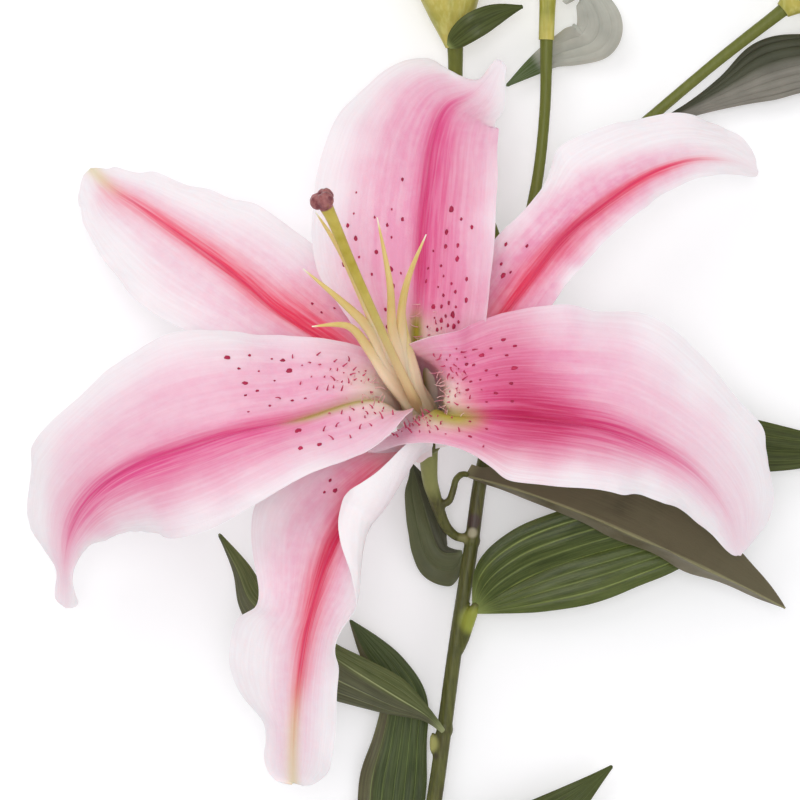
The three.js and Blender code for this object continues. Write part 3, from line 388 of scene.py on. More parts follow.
# A tint row says how far along the blade it is, the width in millimetres of the band on
# the plus and the minus side, how strong it is and how dark, and then the width of the
# blush on both sides and how strong that is. ends shapes the tip: how far along, and the
# reach of both sides. A group of spots or papillae has their number and where they lie,
# along and across. A furrow has its start and end along, its half width, how strong its
# green is, and how far beside the midrib it lies.
TEPALS = {
    "petal_lower_left": {
        "azimuth": 199, "root": petal_root, "tip_side": (0.9, -0.42, 0.15),
        "throat": {"neck": (7.4, 9.2), "neck_curl": (80, 44), "throat": (15.5, 14), "curl": (36, 12)},
        "stations": [
            ((-21.4, -3.3, 56), (16, 21), (12, 12), (-15, -10)),
            ((-35.6, -6.4, 59), (19.2, 26.5), (12, 12), (-30, -30)),
            ((-50.7, -10.9, 57), (22, 28), (12, 12), (-40, -35)),
            ((-65.0, -16.5, 51), (17.6, 24), (8, 10), (-45, -35)),
            ((-74.8, -23.5, 44), (12.5, 20.4), (5, 8), (-50, -35)),
            ((-81.2, -34.0, 34), (6.5, 20), (0, 0), (-30, -40)),
            ((-83.4, -51.5, 22), (2.4, 2.4), (0, 0), (15, 5)),
        ],
        "ends": [
            (0.87, 9, 18.6), (0.9, 6, 15.6), (0.915, 4.2, 12.6), (0.93, 2.8, 7.6), (0.942, 1.9, 3),
            (0.955, 2.6, 2.6), (0.975, 4.8, 3.2), (0.99, 4.4, 3), (1, 2, 1.6),
        ],
        "tint": [
            (0.25, 2, 2, 0, 0, 18, 18, 0.75), (0.36, 3, 2, 0.15, 0, 18, 18, 0.8),
            (0.42, 6, 2, 0.55, 0.1, 14, 22, 0.85), (0.5, 8, 2.2, 0.95, 0.1, 15, 21, 0.8),
            (0.58, 8, 2.2, 0.9, 0.05, 17, 20, 0.75), (0.66, 7.5, 2.4, 0.95, 0.05, 15, 19, 0.7),
            (0.74, 6, 2.6, 0.95, 0.05, 12, 17, 0.6), (0.82, 5.5, 4, 0.85, 0, 10, 12, 0.5),
            (0.9, 2, 2, 0.6, 0, 4, 6, 0.5), (0.95, 1, 1, 0.1, 0, 3, 4, 0.2), (1, 1, 1, 0, 0, 2, 2, 0.1),
        ],
        "spots": [(46, (0.27, 0.52), (-0.75, -0.12)), (24, (0.27, 0.45), (0.1, 0.7))],
        "papillae": [(26, (0.25, 0.36), (-0.42, 0.3))], "furrow": (0.2, 0.46, 1.5, 0.9, 1.3),
    },
    "petal_lower_right": {
        "azimuth": 340, "root": petal_root, "tip_side": (0.86, 0.46, -0.2),
        "throat": {
            "foot": (12, 5.2), "foot_curl": (115, 44),
            "neck": (23, 24), "neck_lift": (8, 60), "neck_curl": (120, -42),
            "throat": (19.4, 9.4), "lift": (12, 16), "curl": (54, 14), "turn": -30,
        },
        "stations": [
            ((25.5, -3.6, 58.2), (26.5, 17.8), (12, 12), (-10, -15)),
            ((38, -4.9, 60), (29.5, 17.2), (12, 12), (-25, -30)),
            ((49.9, -6.9, 59), (31, 15.4), (10, 10), (-35, -35)),
            ((60.8, -11.0, 55), (26.5, 12.6), (8, 8), (-35, -35)),
            ((70.9, -17.3, 49), (22, 10), (8, 5), (-35, -35)),
            ((79.7, -27.2, 39), (18.2, 7), (0, 0), (-35, -20)),
            ((84.0, -38.4, 28), (2, 2), (0, 0), (0, 0)),
        ],
        "tint": [
            (0.25, 10, 6, 0.3, 0, 24, 19, 0.9), (0.3, 24, 9, 0.6, 0.1, 28, 12, 1),
            (0.36, 24, 11, 0.75, 0.4, 30, 11.5, 1), (0.42, 13, 10.5, 1, 0.9, 27, 12.5, 1),
            (0.5, 7.5, 8, 1, 0.8, 27, 12.5, 1), (0.58, 4, 6, 0.95, 0.45, 26, 11, 0.7),
            (0.66, 3.2, 5, 0.85, 0.2, 20, 9, 0.6), (0.74, 2.6, 4, 0.6, 0, 15, 7, 0.45),
            (0.82, 2, 3, 0.35, 0, 12, 5.5, 0.35), (0.9, 1.5, 2, 0.15, 0, 8, 4, 0.3),
            (1, 1, 1, 0, 0, 4, 3, 0.15),
        ],
        "spots": [(50, (0.26, 0.42), (0.08, 0.8)), (30, (0.22, 0.38), (-0.8, -0.15))],
        "papillae": [(36, (0.22, 0.33), (-0.1, 0.5)), (8, (0.22, 0.3), (-0.6, -0.2))],
        "furrow": (0.2, 0.375, 3.2, 1, -1.6),
    },
    "petal_top": {
        "azimuth": 90, "root": petal_root, "tip_side": (-0.6, 0.78, -0.1),
        "throat": {"neck": (9.2, 10), "throat": (14, 17)},
        "stations": [
            ((4.6, 27.5, 46.5), (24, 18), (8, 8), (-5, 5)),
            ((5.3, 40.9, 42), (27, 18), (10, 10), (-15, 10)),
            ((6.6, 52.9, 37), (27, 17.5), (10, 12), (-20, 5)),
            ((8.1, 63.3, 31), (24.2, 16), (10, 12), (-25, 5)),
            ((11.4, 72.2, 24.5), (18.2, 14.5), (8, 12), (-25, 10)),
            ((18.2, 76.6, 19), (10, 12), (5, 10), (-25, 20)),
            ((25.2, 84.6, 14), (3, 3), (0, 0), (0, 0)),
        ],
        "ends": [
            (0.88, 12, 10.2), (0.9, 9.5, 9.4), (0.915, 3.8, 8.6), (0.925, 1.4, 7.8), (0.94, 1.2, 6),
            (0.97, 1.4, 3.2), (1, 1.4, 2),
        ],
        "tint": [
            (0.25, 3, 3, 0.1, 0, 16, 18, 0.8), (0.3, 2, 16, 0.35, 0.1, 16, 20, 0.8),
            (0.36, 2, 14, 0.5, 0.1, 20, 22, 0.85), (0.42, 2, 7, 0.9, 0.3, 21, 22, 1),
            (0.5, 2.4, 7, 0.95, 0.2, 20, 17, 0.95), (0.58, 2.6, 8, 0.95, 0.2, 19.5, 18, 0.85),
            (0.66, 2.6, 7.5, 0.9, 0.2, 18, 19, 0.85), (0.74, 2.6, 4.5, 0.9, 0.1, 16, 19, 0.9),
            (0.8, 1.6, 3, 0.75, 0, 12, 18, 0.9), (0.86, 1, 1.5, 0.4, 0, 8, 12, 0.7),
            (0.91, 1, 1, 0.05, 0, 4, 6, 0.4), (0.94, 1, 1, 0, 0, 2, 3, 0.1), (1, 1, 1, 0, 0, 2, 2, 0),
        ],
        "spots": [(40, (0.27, 0.56), (-0.75, -0.1)), (26, (0.3, 0.6), (0.12, 0.75))],
        "papillae": [(14, (0.25, 0.37), (-0.3, 0.25))], "furrow": (0.15, 0.36, 2.0, 1, 0),
        "rib_end": 0.86,
    },
    "sepal_upper_left": {
        "azimuth": 147, "root": sepal_root, "throat": {}, "tip_side": (-0.6, -0.75, 0.3),
        "stations": [
            ((-28.6, 21.1, 40.5), (16, 18), (8, 8), (0, -10)),
            ((-37.6, 28.9, 37.5), (18.5, 18), (5, 10), (-20, -15)),
            ((-49.1, 37.2, 32), (20.5, 16), (5, 10), (-25, -20)),
            ((-61.2, 45.7, 26), (17, 11.5), (5, 8), (-25, -15)),
            ((-71.9, 52.9, 15), (10.5, 6.5), (5, 5), (-15, -10)),
            ((-78, 58.6, 4.2), (1.5, 1.5), (0, 0), (0, 0)),
        ],
        "ends": [
            (0.86, 12.6, 7.2), (0.885, 10.6, 6.2), (0.9, 8.6, 5.4), (0.92, 9.2, 4.4), (0.945, 8, 3.4),
            (0.97, 5, 2.4), (1, 1.6, 1),
        ],
        "tint": [
            (0.25, 3, 4, 0.5, 0, 9, 10, 0.6), (0.36, 2.5, 5, 0.9, 0, 14, 16, 0.75),
            (0.42, 2.6, 6, 1, 0, 15, 17, 0.65), (0.5, 3.2, 3.8, 0.95, 0.1, 16, 15, 0.55),
            (0.58, 2.8, 3.4, 1, 0.1, 15, 12, 0.45), (0.66, 2.4, 2.8, 0.95, 0.1, 15, 9, 0.4),
            (0.74, 2.2, 2.4, 0.8, 0, 9, 6, 0.4), (0.82, 2.8, 2.2, 0.7, 0, 7, 5, 0.4),
            (0.9, 3.5, 1.4, 0.5, 0, 6, 3, 0.3), (0.95, 1, 1, 0.1, 0, 3, 2, 0.1),
            (1, 1, 1, 0, 0, 2, 2, 0),
        ],
        "yellow_tip": 0.9, "spots": [(3, (0.38, 0.46), (-0.7, -0.2))],
    },
    "sepal_upper_right": {
        "azimuth": 38, "root": sepal_root, "throat": {}, "tip_side": (0.1, 0.97, -0.2),
        "stations": [
            ((32.0, 30.1, 43.4), (13.5, 8.6), (8, -3), (-5, -5)),
            ((39.5, 39.5, 43), (11.4, 8.4), (10, -4), (-5, -15)),
            ((49.1, 47.4, 42), (17.8, 7.2), (10, 0), (-20, -20)),
            ((59.4, 54.5, 38.5), (15.2, 6.4), (10, -5), (-20, -20)),
            ((71.1, 58.8, 32), (12.4, 4.8), (5, -5), (-20, -20)),
            ((81.6, 59.4, 24), (9, 3.7), (0, 0), (-15, -20)),
            ((89.8, 57.2, 15), (2, 2), (0, 0), (0, 0)),
        ],
        "tint": [
            (0.25, 3, 3, 0.6, 0, 10, 10, 0.8), (0.36, 4, 2.2, 0.9, 0, 16, 14, 0.95),
            (0.42, 3, 3.4, 1, 0.3, 11, 7, 0.9), (0.5, 1.6, 3.6, 1, 0.6, 11, 8, 0.9),
            (0.58, 1.5, 3, 1, 0.5, 11, 7, 0.8), (0.66, 1.2, 2, 1, 0.2, 7.5, 6, 0.75),
            (0.74, 0.9, 1.7, 0.9, 0.1, 5, 4.5, 0.65), (0.82, 0.8, 0.7, 0.5, 0, 4, 3, 0.3),
            (0.9, 1, 1, 0.05, 0, 2, 2, 0.05), (1, 1, 1, 0, 0, 1, 1, 0),
        ],
        "spots": [(5, (0.36, 0.46), (0.3, 0.85))],
    },
    "sepal_bottom": {
        "azimuth": 249, "root": sepal_root, "throat": {"throat": (15, 12), "height": 20, "roll": 140},
        "stations": [
            ((-10.8, -25.6, 47.5), (24, 18), (10, 6), (195, -5), 1.3),
            ((-16.5, -34.9, 49.5), (21.5, 21.5), (8, 8), (160, -10), 1.6),
            ((-21.1, -49.2, 49.5), (15, 13.5), (5, 8), (70, 10)),
            ((-23.9, -62.7, 46), (9.6, 20), (5, 8), (0, -15)),
            ((-25.5, -76.4, 41), (10.5, 11.5), (5, 8), (-20, -10)),
            ((-26.2, -88.0, 36), (9, 7.5), (5, 5), (-10, -10)),
            ((-26.2, -94.0, 33), (2, 2), (0, 0), (0, 0)),
        ],
        "ends": [
            (0.6, 12.5, 13.2), (0.628, 11, 12.6), (0.655, 10.2, 17.4), (0.69, 10, 18.8), (0.74, 10, 17.6),
            (0.775, 10.4, 14.9), (0.8, 10.6, 11.8), (0.825, 10.6, 7.8), (0.86, 10.6, 7.2), (0.9, 10, 7.4),
            (0.95, 7, 5.8), (0.98, 5, 4.2), (1, 2.5, 2.5),
        ],
        "tint": [
            (0.25, 3, 5, 0.7, 0, 9, 11, 0.8), (0.36, 3, 7, 0.85, 0, 14, 14, 0.8),
            (0.42, 2.5, 2.8, 1, 0.4, 12, 16, 0.7), (0.5, 3.4, 2.8, 1, 0.4, 11, 15, 0.65),
            (0.58, 3, 2.6, 1, 0.3, 9, 13, 0.6), (0.66, 3.0, 2.2, 0.95, 0.2, 8, 9, 0.5),
            (0.74, 2.4, 1.6, 0.8, 0.2, 7, 7, 0.4), (0.82, 1.2, 0.8, 0.35, 0, 6, 6, 0.35),
            (0.9, 1, 1, 0.1, 0, 6, 6, 0.3), (0.96, 1, 1, 0.05, 0, 3, 5, 0.2),
            (1, 1, 1, 0, 0, 2, 3, 0.1),
        ],
        "yellow_tip": 0.78, "spots": [(3, (0.38, 0.45), (-0.8, -0.3))],
    },
}


def tepal_form(name):
    """The frames of one petal or sepal, from its root in the funnel to its tip."""
    sizes = TEPALS[name]
    azimuth = sizes["azimuth"]
    numbers = [flat(s) for s in sizes["root"](azimuth, **sizes["throat"]) + sizes["stations"]]
    seed = list(TEPALS).index(name) + 1
    side = np.cross(AXIS, outward(azimuth))
    round_tip = 0.015 if "ends" in sizes else 0.04
    ends = sizes.get("ends", ())
    return blade_form(
        numbers, side, sizes.get("tip_side"), round_tip=round_tip, seed=seed, ends=ends, ease=12,
    )


def tepal_surface(form, name, t, s):
    """A tepal's middle surface with its furrow, ribs, ruffles and unevenness."""
    middle, reach = blade_surface(form, t, s)
    rib, uv = blade_lie(form, t, s, reach)
    share = np.abs(s)[None, :] + 0 * rib
    along = uv[..., 1] * UV_UNIT
    seed = form["seed"]
    away = np.abs(rib)
    grown = smooth_step(0.0, 0.3, t)[:, None]
    rib_end = TEPALS[name].get("rib_end", 1.2)
    depth = 0.75 * (1 - smooth_step(0.3, 0.95, t))[:, None] + 0.3
    depth = depth * (1 - smooth_step(rib_end - 0.1, rib_end, t))[:, None]
    height = -depth * bump(away, 0, 1.1) + 0.5 * depth * bump(away, 2.6, 1.5)
    height += 0.06 * grown * np.cos(2 * math.pi * away / 2.3 + 1.2 * uneven(along / 30, rib / 9, seed))
    ruffle = uneven(along / 15, np.sign(rib) * 3, seed + 20)
    height += 1.1 * grown * share**3 * ruffle
    height += 0.45 * grown * uneven(along / 30, rib / 22, seed + 40)
    height += 0.12 * grown * share * uneven(along / 6, rib / 6, seed + 60)
    middle = middle + grid_normals(middle) * height[..., None]
    return middle, rib, uv, share


def tepal_masks(name, t, s, rib, seed):
    """Where a tepal is banded, blushed, dark, green and yellow, and where its throat is cream, painted paler
    to stand in for light shining through it.
    """
    sizes = TEPALS[name]
    rows = np.array(sizes["tint"], float)
    fine = np.linspace(0, 1, 201)
    even = soften(np.stack([np.interp(fine, rows[:, 0], rows[:, k]) for k in range(1, 8)], 1), 5)
    tint = np.stack([np.interp(t, fine, even[:, k]) for k in range(7)], 1)
    minus = (s < 0)[None, :]
    away = np.abs(rib)
    wander = 1 + 0.09 * uneven(t[:, None] * 9, np.sign(s)[None, :] * 2.0, seed + 80)
    band_width = np.maximum(np.where(minus, tint[:, 1:2], tint[:, 0:1]), 0.3) * wander
    blush_width = np.maximum(np.where(minus, tint[:, 5:6], tint[:, 4:5]), 0.5) * wander
    strength = np.clip(tint[:, 2:3], 0, 1)
    band = strength * np.exp(-(away / band_width) ** 1.7)
    blush = np.clip(tint[:, 6:7], 0, 1) * np.exp(-(away / blush_width) ** 4)
    deep = band * np.clip(tint[:, 3:4], 0, 1)
    rib_end = sizes.get("rib_end", 0.95)
    core = strength * bump(away, 0, 0.3) * (1 - smooth_step(rib_end - 0.08, rib_end, t))[:, None]
    green = np.zeros_like(rib)
    if "furrow" in sizes:
        start, end, wide, depth, beside = sizes["furrow"]
        ahead = depth * (1 - smooth_step(end - 0.06, end + 0.01, t)[:, None])
        green = ahead * np.exp(-np.abs((rib - beside) / wide) ** 2.5) * smooth_step(0, start, t)[:, None]
    tip = 0 * rib
    if "yellow_tip" in sizes:
        start = sizes["yellow_tip"]
        tip = smooth_step(start - 0.08, start + 0.06, t)[:, None] * bump(away, 0, 1.7)
    # The throat's cream is partly painted light: paler than the tissue, to stand in for light shining through
    # the funnel.
    throat = (1 - smooth_step(0.26, 0.37, t))[:, None] * (1 - smooth_step(4.0, 11.0, away))
    throat *= 1 if name.startswith("petal") else 0.3
    return {
        "band": band, "blush": blush, "deep": deep, "core": core, "green": green, "tip": tip,
        "throat": throat,
    }


# ------------------------------------------------------------------ pistil, filaments, stem
# Each row of a path is a place and a radius there. A filament has its place round the
# ovary, the places on its way and its tip.
STIGMA = (-17.4, 45.4, 89)
PISTIL_PATH = [
    [*funnel(0, 0.6, 0), 1.7], [*funnel(0, 12, 0), 1.8], [4.0, -0.6, 43, 1.5], [2.0, 3.2, 52, 1.2],
    [-3.6, 14.8, 67, 1.05], [-10.6, 30.2, 79, 1.15], [-15.3, 41.2, 86.5, 1.35], [*STIGMA, 1.8],
]
FILAMENT_RING = 2.85
FILAMENT_RADII = (1.4, 1.35, 1.1, 0.8)
FILAMENTS = [
    (150, [(0.4, 5.4, 46), (-2.6, 11.0, 56), (-8.0, 22.6, 66), (-13.4, 34.0, 73.2)], (-19.6, 43.6, 79)),
    (90, [(2.2, 3.8, 47), (0.6, 8.4, 53), (-1.8, 16.6, 60.5), (-2.4, 27.4, 69)], (-5.3, 42.4, 77)),
    (30, [(4.2, 3.0, 46), (2.2, 8.2, 51.5), (0.2, 17.4, 59), (1.6, 27.6, 66.2)], (6.1, 38.6, 74)),
    (210, [(0.2, 2.6, 46.6), (-2.8, 7.9, 54), (-7.2, 16.6, 63), (-13.8, 23.2, 69.4)], (-22.6, 30.6, 74)),
    (270, [(0.8, 0.9, 45.4), (-3.2, 6.0, 53.6), (-7.2, 11.8, 60), (-12.2, 17.4, 66.4)], (-20.6, 17.2, 71)),
    (330, [(4.8, 1.4, 44.6), (3.4, 6.4, 49.8), (1.9, 12.4, 54.6), (1.0, 17.4, 57.6)], (0.9, 23.4, 61)),
]
MAIN_STEM = [
    (-5.2, -255, 3.55, 3.6), (-4.2, -215, 3.9, 3.2), (-1.6, -174, 4.6, 2.75), (3, -136, 5.6, 2.35),
    (9.1, -98.3, 6.6, 2.0), (14.0, -62, 7.5, 1.85), (17.9, -37.2, 8.2, 1.85), (20.2, -20.1, 8.3, 1.8),
    (24, -3, 8.3, 1.75), (28.2, 20, 8.3, 1.7), (32, 42, 8.2, 1.6), (35, 58, 8.3, 1.45),
    (36.6, 75, 8.5, 1.42), (36.8, 88, 8.8, 1.6), (36.9, 93.4, 8.8, 1.8),
]
FLOWER_STALK = [
    (17.6, -34.6, 8.3, 1.2), (14.4, -34.4, 8.8, 1.15), (11.7, -31.9, 10.2, 1.3), (10.0, -28.2, 11.8, 1.5),
    (8.6, -24, 13.6, 1.75), (7.4, -19.4, 16, 2.0), (*RECEPTACLE, 2.6),
]
BRACT_STALK = [
    (10, -26, 12.4, 1.0), (12.2, -25.4, 12.9, 0.95), (13.3, -22.6, 13.1, 0.9), (14, -20, 13.2, 0.88),
    (15.4, -18.6, 13.8, 0.85), (17.0, -18.6, 14.6, 0.8),
]
FIRST_BUD_STALK = [
    (28.2, 20, 8.3, 1.7), (27.4, 30, 6.6, 1.75), (22, 46, 5.2, 1.75), (16.4, 64, 5.0, 1.75),
    (14.2, 77, 6.6, 1.8), (13.9, 87.6, 9.6, 2.0), (13.6, 91.6, 10.4, 2.4),
]
THIRD_BUD_STALK = [
    (32, 43, 8.2, 1.5), (45.6, 56.2, 8.2, 1.45), (64.2, 72.1, 8.6, 1.4), (80.5, 85.8, 9.4, 1.45),
    (95.5, 97.4, 10.1, 1.7), (99.5, 100.6, 10.3, 2.2),
]
LEAF_STALK = [
    (15.0, -63.4, 7.6, 1.0), (16.1, -60, 8.4, 1.4), (17.1, -56.6, 9.0, 1.5), (18.2, -53.4, 9.5, 1.4),
    (19.4, -50.8, 10, 0.8),
]
RECEPTACLE_ROWS = [
    (*funnel(0, -7, 0), 1.8), (*funnel(0, -3.4, 0), 2.6), (*funnel(0, -1.2, 0), 3.4),
    (*funnel(0, -0.1, 0), RECEPTACLE_RADIUS),
]
# Knots and a resting bud: the middle and the radii.
KNOTS = [
    ((18.2, -35.4, 8.2), (2.1, 2.4, 2.1)), ((32, 42.5, 8.2), (1.9, 2.1, 1.9)),
    ((11.3, -83, 6.9), (2.2, 2.5, 2.2)), ((4.6, -126, 5.9), (2.7, 3, 2.7)),
    ((8.3, -86.6, 6.8), (0.9, 3.0, 0.9)),
]
# Marks on the stem: their middle and radius, their colour and their depth.
STEM_MARKS = [
    (18.6, -30.4, 9.5, 2.6, srgb(74, 56, 54), 0.85),
    (18.2, -33.4, 9.8, 1.7, srgb(196, 190, 160), 0.6),
    (15.8, -35.0, 9.6, 1.8, srgb(140, 136, 90), 0.6),
    (6.8, -17.0, 17, 10, srgb(150, 152, 92), 0.7),
    (18.4, -55.4, 9.8, 4.6, srgb(150, 158, 56), 0.85),
    (7.6, -86.6, 7.4, 3.0, srgb(168, 166, 98), 0.8),
    (9.6, -89.8, 7.6, 1.5, srgb(58, 44, 34), 0.7),
]

# A profile is a bud's girth at even steps from its stalk to its tip. A bud has both its
# ends, its radius and its profile.
BUD_PROFILE = [0.2, 0.42, 0.62, 0.77, 0.88, 0.95, 0.99, 1, 0.98, 0.93, 0.85, 0.74, 0.62, 0.5, 0.36, 0.12]
SLENDER_PROFILE = [
    0.23, 0.235, 0.25, 0.36, 0.58, 0.8, 0.9, 0.97, 1, 0.98, 0.92, 0.83, 0.72, 0.58, 0.4, 0.14,
]
BUDS = {
    "bud_1": ((13.8, 88.6, 10.2), (5.5, 176, 13.5), 11.6, BUD_PROFILE),
    "bud_2": ((36.8, 90.6, 8.8), (39.5, 172, 9.5), 8.4, SLENDER_PROFILE),
    "bud_3": ((96.2, 97.9, 10.2), (157, 148, 11.7), 10.7, BUD_PROFILE),
}

# A leaf follows its path from the stem to its point. It has either its widest reach, or
# its widths at even steps. veins are shares of its width, second is the part of it that
# has its skin's second colour: a side, or its tip, and where that begins and is whole.
LEAVES = {
    "leaf_bract_right": {
        "path": [
            (16.3, -18.8, 13.2), (21.5, -20.2, 17), (28, -21.9, 20.5), (44.3, -27.7, 25.5), (63, -35.8, 26),
            (82.5, -45, 21), (96.3, -52, 14),
        ],
        "side": (-0.4, -0.85, 0), "fold": (72, 18), "roll": (5, 10),
        "widths": [
            (0.6, 3.4), (2, 3.6), (3, 6.4), (5, 10.4), (8, 13), (9, 13), (8, 10.5), (5, 6.4), (0.3, 0.3),
        ],
        # Its plus half takes the bract skin's pale grey: painted light, for the half of the underside that
        # the light falls on.
        "veins": (0,), "skin": "bract", "second": ("plus", 0.02, 0.08),
    },
    "leaf_broad_right": {
        "path": [
            (18.5, -53.3, 9.4), (24.6, -48.9, 11.4), (32.6, -44.3, 12.2), (41.6, -40.6, 12.4),
            (51, -37.8, 12.4), (60, -35.5, 12), (69.4, -33.2, 11), (78.6, -30.6, 9), (87, -27.2, 6.5),
        ],
        "side": (-0.4, 0.9, 0), "fold": (16, 8), "roll": (-25, -25),
        "widths": [
            (0.5, 0.5), (9.6, 5.6), (12.6, 9.6), (13, 11.8), (12.8, 11.8), (11.4, 10.4), (9, 8.6), (5.6, 5.4),
            (0.3, 0.3),
        ],
        "veins": (0, 0.24, 0.48, 0.74), "skin": "fresh", "second": ("minus", -0.3, 0.5),
    },
    "leaf_behind_right": {
        "path": [(27.0, -3.2, 8.3), (50, -6.6, 11), (75, -10.4, 12), (100, -12.8, 10), (119, -11, 6)],
        "side": (0, 1, 0), "reach": (8.8, 7.6), "veins": (0, 0.5),
    },
    "leaf_left": {
        "path": [
            (10.9, -83.3, 9.9), (6.4, -78.9, 12), (-1, -74.1, 14.6), (-10, -68.3, 16.6), (-19, -62.2, 17.6),
            (-28.5, -56, 17.2), (-37, -50.5, 15.6), (-40.6, -42.6, 13.4), (-45.4, -33.6, 11),
        ],
        "side": (-0.6, -0.8, 0), "fold": (-22, -12), "roll": (-15, -15),
        "widths": [
            (0.6, 0.6), (2, 1.9), (6.8, 4.8), (10.8, 4.2), (13.4, 3), (10, 5), (4.6, 5), (1.6, 3.2),
            (0.3, 0.3),
        ],
        "veins": (0, 0.4, 0.72), "skin": "purple", "second": ("plus", 0.02, 0.06),
    },
    "leaf_left_long": {
        "path": [
            (-1.2, -134, 3.6), (-2.2, -121, 2.8), (-2.4, -109, 2.4), (-1.4, -97, 2.4), (0.2, -86, 2.8),
            (0.8, -76.5, 3.4), (-2.6, -68.5, 4.4), (-7.4, -62, 5.4), (-12.6, -55.6, 6),
        ],
        "side": (-1, -0.15, 0), "fold": (4, -2), "roll": (-6, -4),
        "widths": [
            (1.2, 1.2), (5, 4.4), (8, 7.4), (9, 8.2), (7, 6.6), (5.8, 6.2), (5, 4.8), (3.6, 3), (0.3, 0.3),
        ],
        "veins": (0, 0.32, 0.64), "second": ("plus", 0.5, 0.7), "skin": "banded",
    },
    "leaf_low_right": {
        "path": [(8.8, -126.4, 6.3), (23, -115.4, 8.6), (38.6, -104.4, 8.5), (53.6, -92.5, 5)],
        "side": (-0.6, 0.8, 0), "reach": (8, 8), "taper": 0.9, "base": 0.5, "veins": (0, 0.5),
    },
    "leaf_curled": {
        "path": [
            (15.7, -38.5, 5.8), (13.2, -38.8, 5.2), (10.4, -38.2, 4.8), (8.6, -35.2, 4.8), (7.0, -30.4, 5),
            (5.4, -25, 5.8), (4.1, -20.5, 6.6), (2.9, -16, 8),
        ],
        "side": (0, -1, 0), "fold": (0, 8), "roll": (0, 0),
        "widths": [
            (0.8, 0.6), (8.2, 1.4), (7.6, 2.4), (6.2, 3.4), (5.8, 4.4), (4.8, 4.2), (3.2, 3), (0.3, 0.3),
        ],
        "veins": (0, 0.52), "skin": "grey", "second": ("minus", 0.02, 0.1),
    },
    "bract_pale": {
        "path": [
            (41.4, 99.8, 9.4), (45.6, 102.4, 11.4), (48.8, 98.4, 10.8), (50.4, 92.6, 8.6), (46.4, 89.4, 6.2),
            (40.3, 87.8, 4.6), (33.9, 84.4, 4.2), (26.9, 79.4, 5),
        ],
        "side": (0.9, 0.3, 0), "tip_side": (0.3, -0.95, 0), "fold": (10, 10),
        "widths": [(0.8, 0.8), (3, 3), (4.6, 5), (6, 7), (5, 7), (3.4, 4.4), (2.4, 2.4), (0.3, 0.3)],
        "veins": (0, 0.5), "skin": "pale", "second": ("tip", 0.8, 0.86),
    },
    "leaf_top_right": {
        "path": [
            (61.2, 67.4, 5.6), (70.3, 72, 4.9), (81, 77, 5), (91.4, 81.8, 5.6), (101.6, 84.6, 6.2),
            (113.4, 85.6, 6), (128, 84.5, 4.5),
        ],
        "side": (-0.35, 0.93, 0), "fold": (0, 6),
        "widths": [(0.8, 0.8), (1.4, 1.4), (3.6, 3.6), (8.2, 6.6), (8.2, 6.8), (5.4, 5), (0.3, 0.3)],
        "veins": (0, 0.3, 0.58, 0.82), "skin": "silver", "second": ("plus", -0.1, 0.4), "relief": 3,
    },
    "bract_first_bud": {
        "path": [(12.2, 88.4, 14.6), (17.5, 92.7, 17.4), (24.2, 96.3, 16.6), (30.6, 98.4, 14)],
        "side": (-0.5, 0.85, 0), "reach": (3.4, 3.4), "base": 0.3, "veins": (0,),
    },
    "leaf_lower_1": {
        "path": [(5.2, -151, 6), (24, -147, 9.6), (43, -140, 11), (62, -128, 9), (78, -114, 4)],
        "side": (-0.4, 0.9, 0), "reach": (9.5, 9.5),
    },
    "leaf_lower_2": {
        "path": [(-4.6, -165, 5.6), (-18, -158, 9.4), (-38, -150, 11), (-58, -138, 9), (-74, -124, 4)],
        "side": (-0.4, -0.9, 0), "reach": (9.5, 9.5),
    },
    "leaf_lower_3": {
        "path": [(1.8, -185, 5.2), (20, -186, 8.6), (38, -183, 10), (58, -175, 8), (74, -163, 4)],
        "side": (-0.1, 1, 0), "reach": (9, 9),
    },
    "leaf_lower_4": {
        "path": [(-7.6, -201, 4.8), (-19, -203, 8.4), (-37, -202, 9.6), (-55, -196, 7.4), (-71, -186, 4)],
        "side": (0, -1, 0), "reach": (8.5, 8.5),
    },
}


def leaf_width(t, widest, taper, base):
    """A plain leaf's reach to one side, at a share of its length."""
    broadest = 0.4
    rise = (t / broadest) ** taper
    fall = ((1 - t) / (1 - broadest)) ** (taper * (1 - broadest) / broadest)
    return max(widest * rise * fall, 0.35) + base * (1 - t) ** 5


def leaf_form(name):
    """The frames of one leaf or bract, from its foot on the stem to its point."""
    sizes = LEAVES[name]
    taper, base = sizes.get("taper", 0.75), sizes.get("base", 0.4)
    count = 9
    numbers = []
    for i in range(count):
        t = i / (count - 1)
        at = blend(sizes["path"], t)[0]
        if "widths" in sizes:
            reach = blend(sizes["widths"], t)[0]
        else:
            reach = [leaf_width(t, widest, taper, base) for widest in sizes["reach"]]
        numbers.append(flat((at, reach, sizes.get("fold", (10, 10)), sizes.get("roll", (-15, -15)))))
    seed = 200 + list(LEAVES).index(name)
    return blade_form(numbers, sizes["side"], sizes.get("tip_side"), 6.0, 2.5, 0.015, seed)


# ------------------------------------------------------------------ shader helpers
def node(tree, kind, inputs=None, **settings):
    """Adds a node with its settings, and gives its inputs values or links."""
    made = tree.nodes.new(kind)
    for key, value in settings.items():
        setattr(made, key, value)
    for key, value in (inputs or {}).items():
        if isinstance(value, bpy.types.NodeSocket):
            tree.links.new(value, made.inputs[key])
        else:
            made.inputs[key].default_value = value
    return made


def maths(tree, operation, first, second, clamp=False):
    """The result of a sum on two numbers."""
    given = {0: first, 1: second}
    return node(tree, "ShaderNodeMath", given, operation=operation, use_clamp=clamp).outputs[0]


def mix(tree, factor, first, second):
    """Mixes two colours."""
    return node(tree, "ShaderNodeMix", {0: factor, 6: first, 7: second}, data_type="RGBA").outputs[2]


def span(tree, value, low, high, to_low=0.0, to_high=1.0):
    """Maps a value from one range to another, softly and within its ends."""
    given = {"Value": value, "From Min": low, "From Max": high, "To Min": to_low, "To Max": to_high}
    return node(tree, "ShaderNodeMapRange", given, interpolation_type="SMOOTHSTEP").outputs[0]


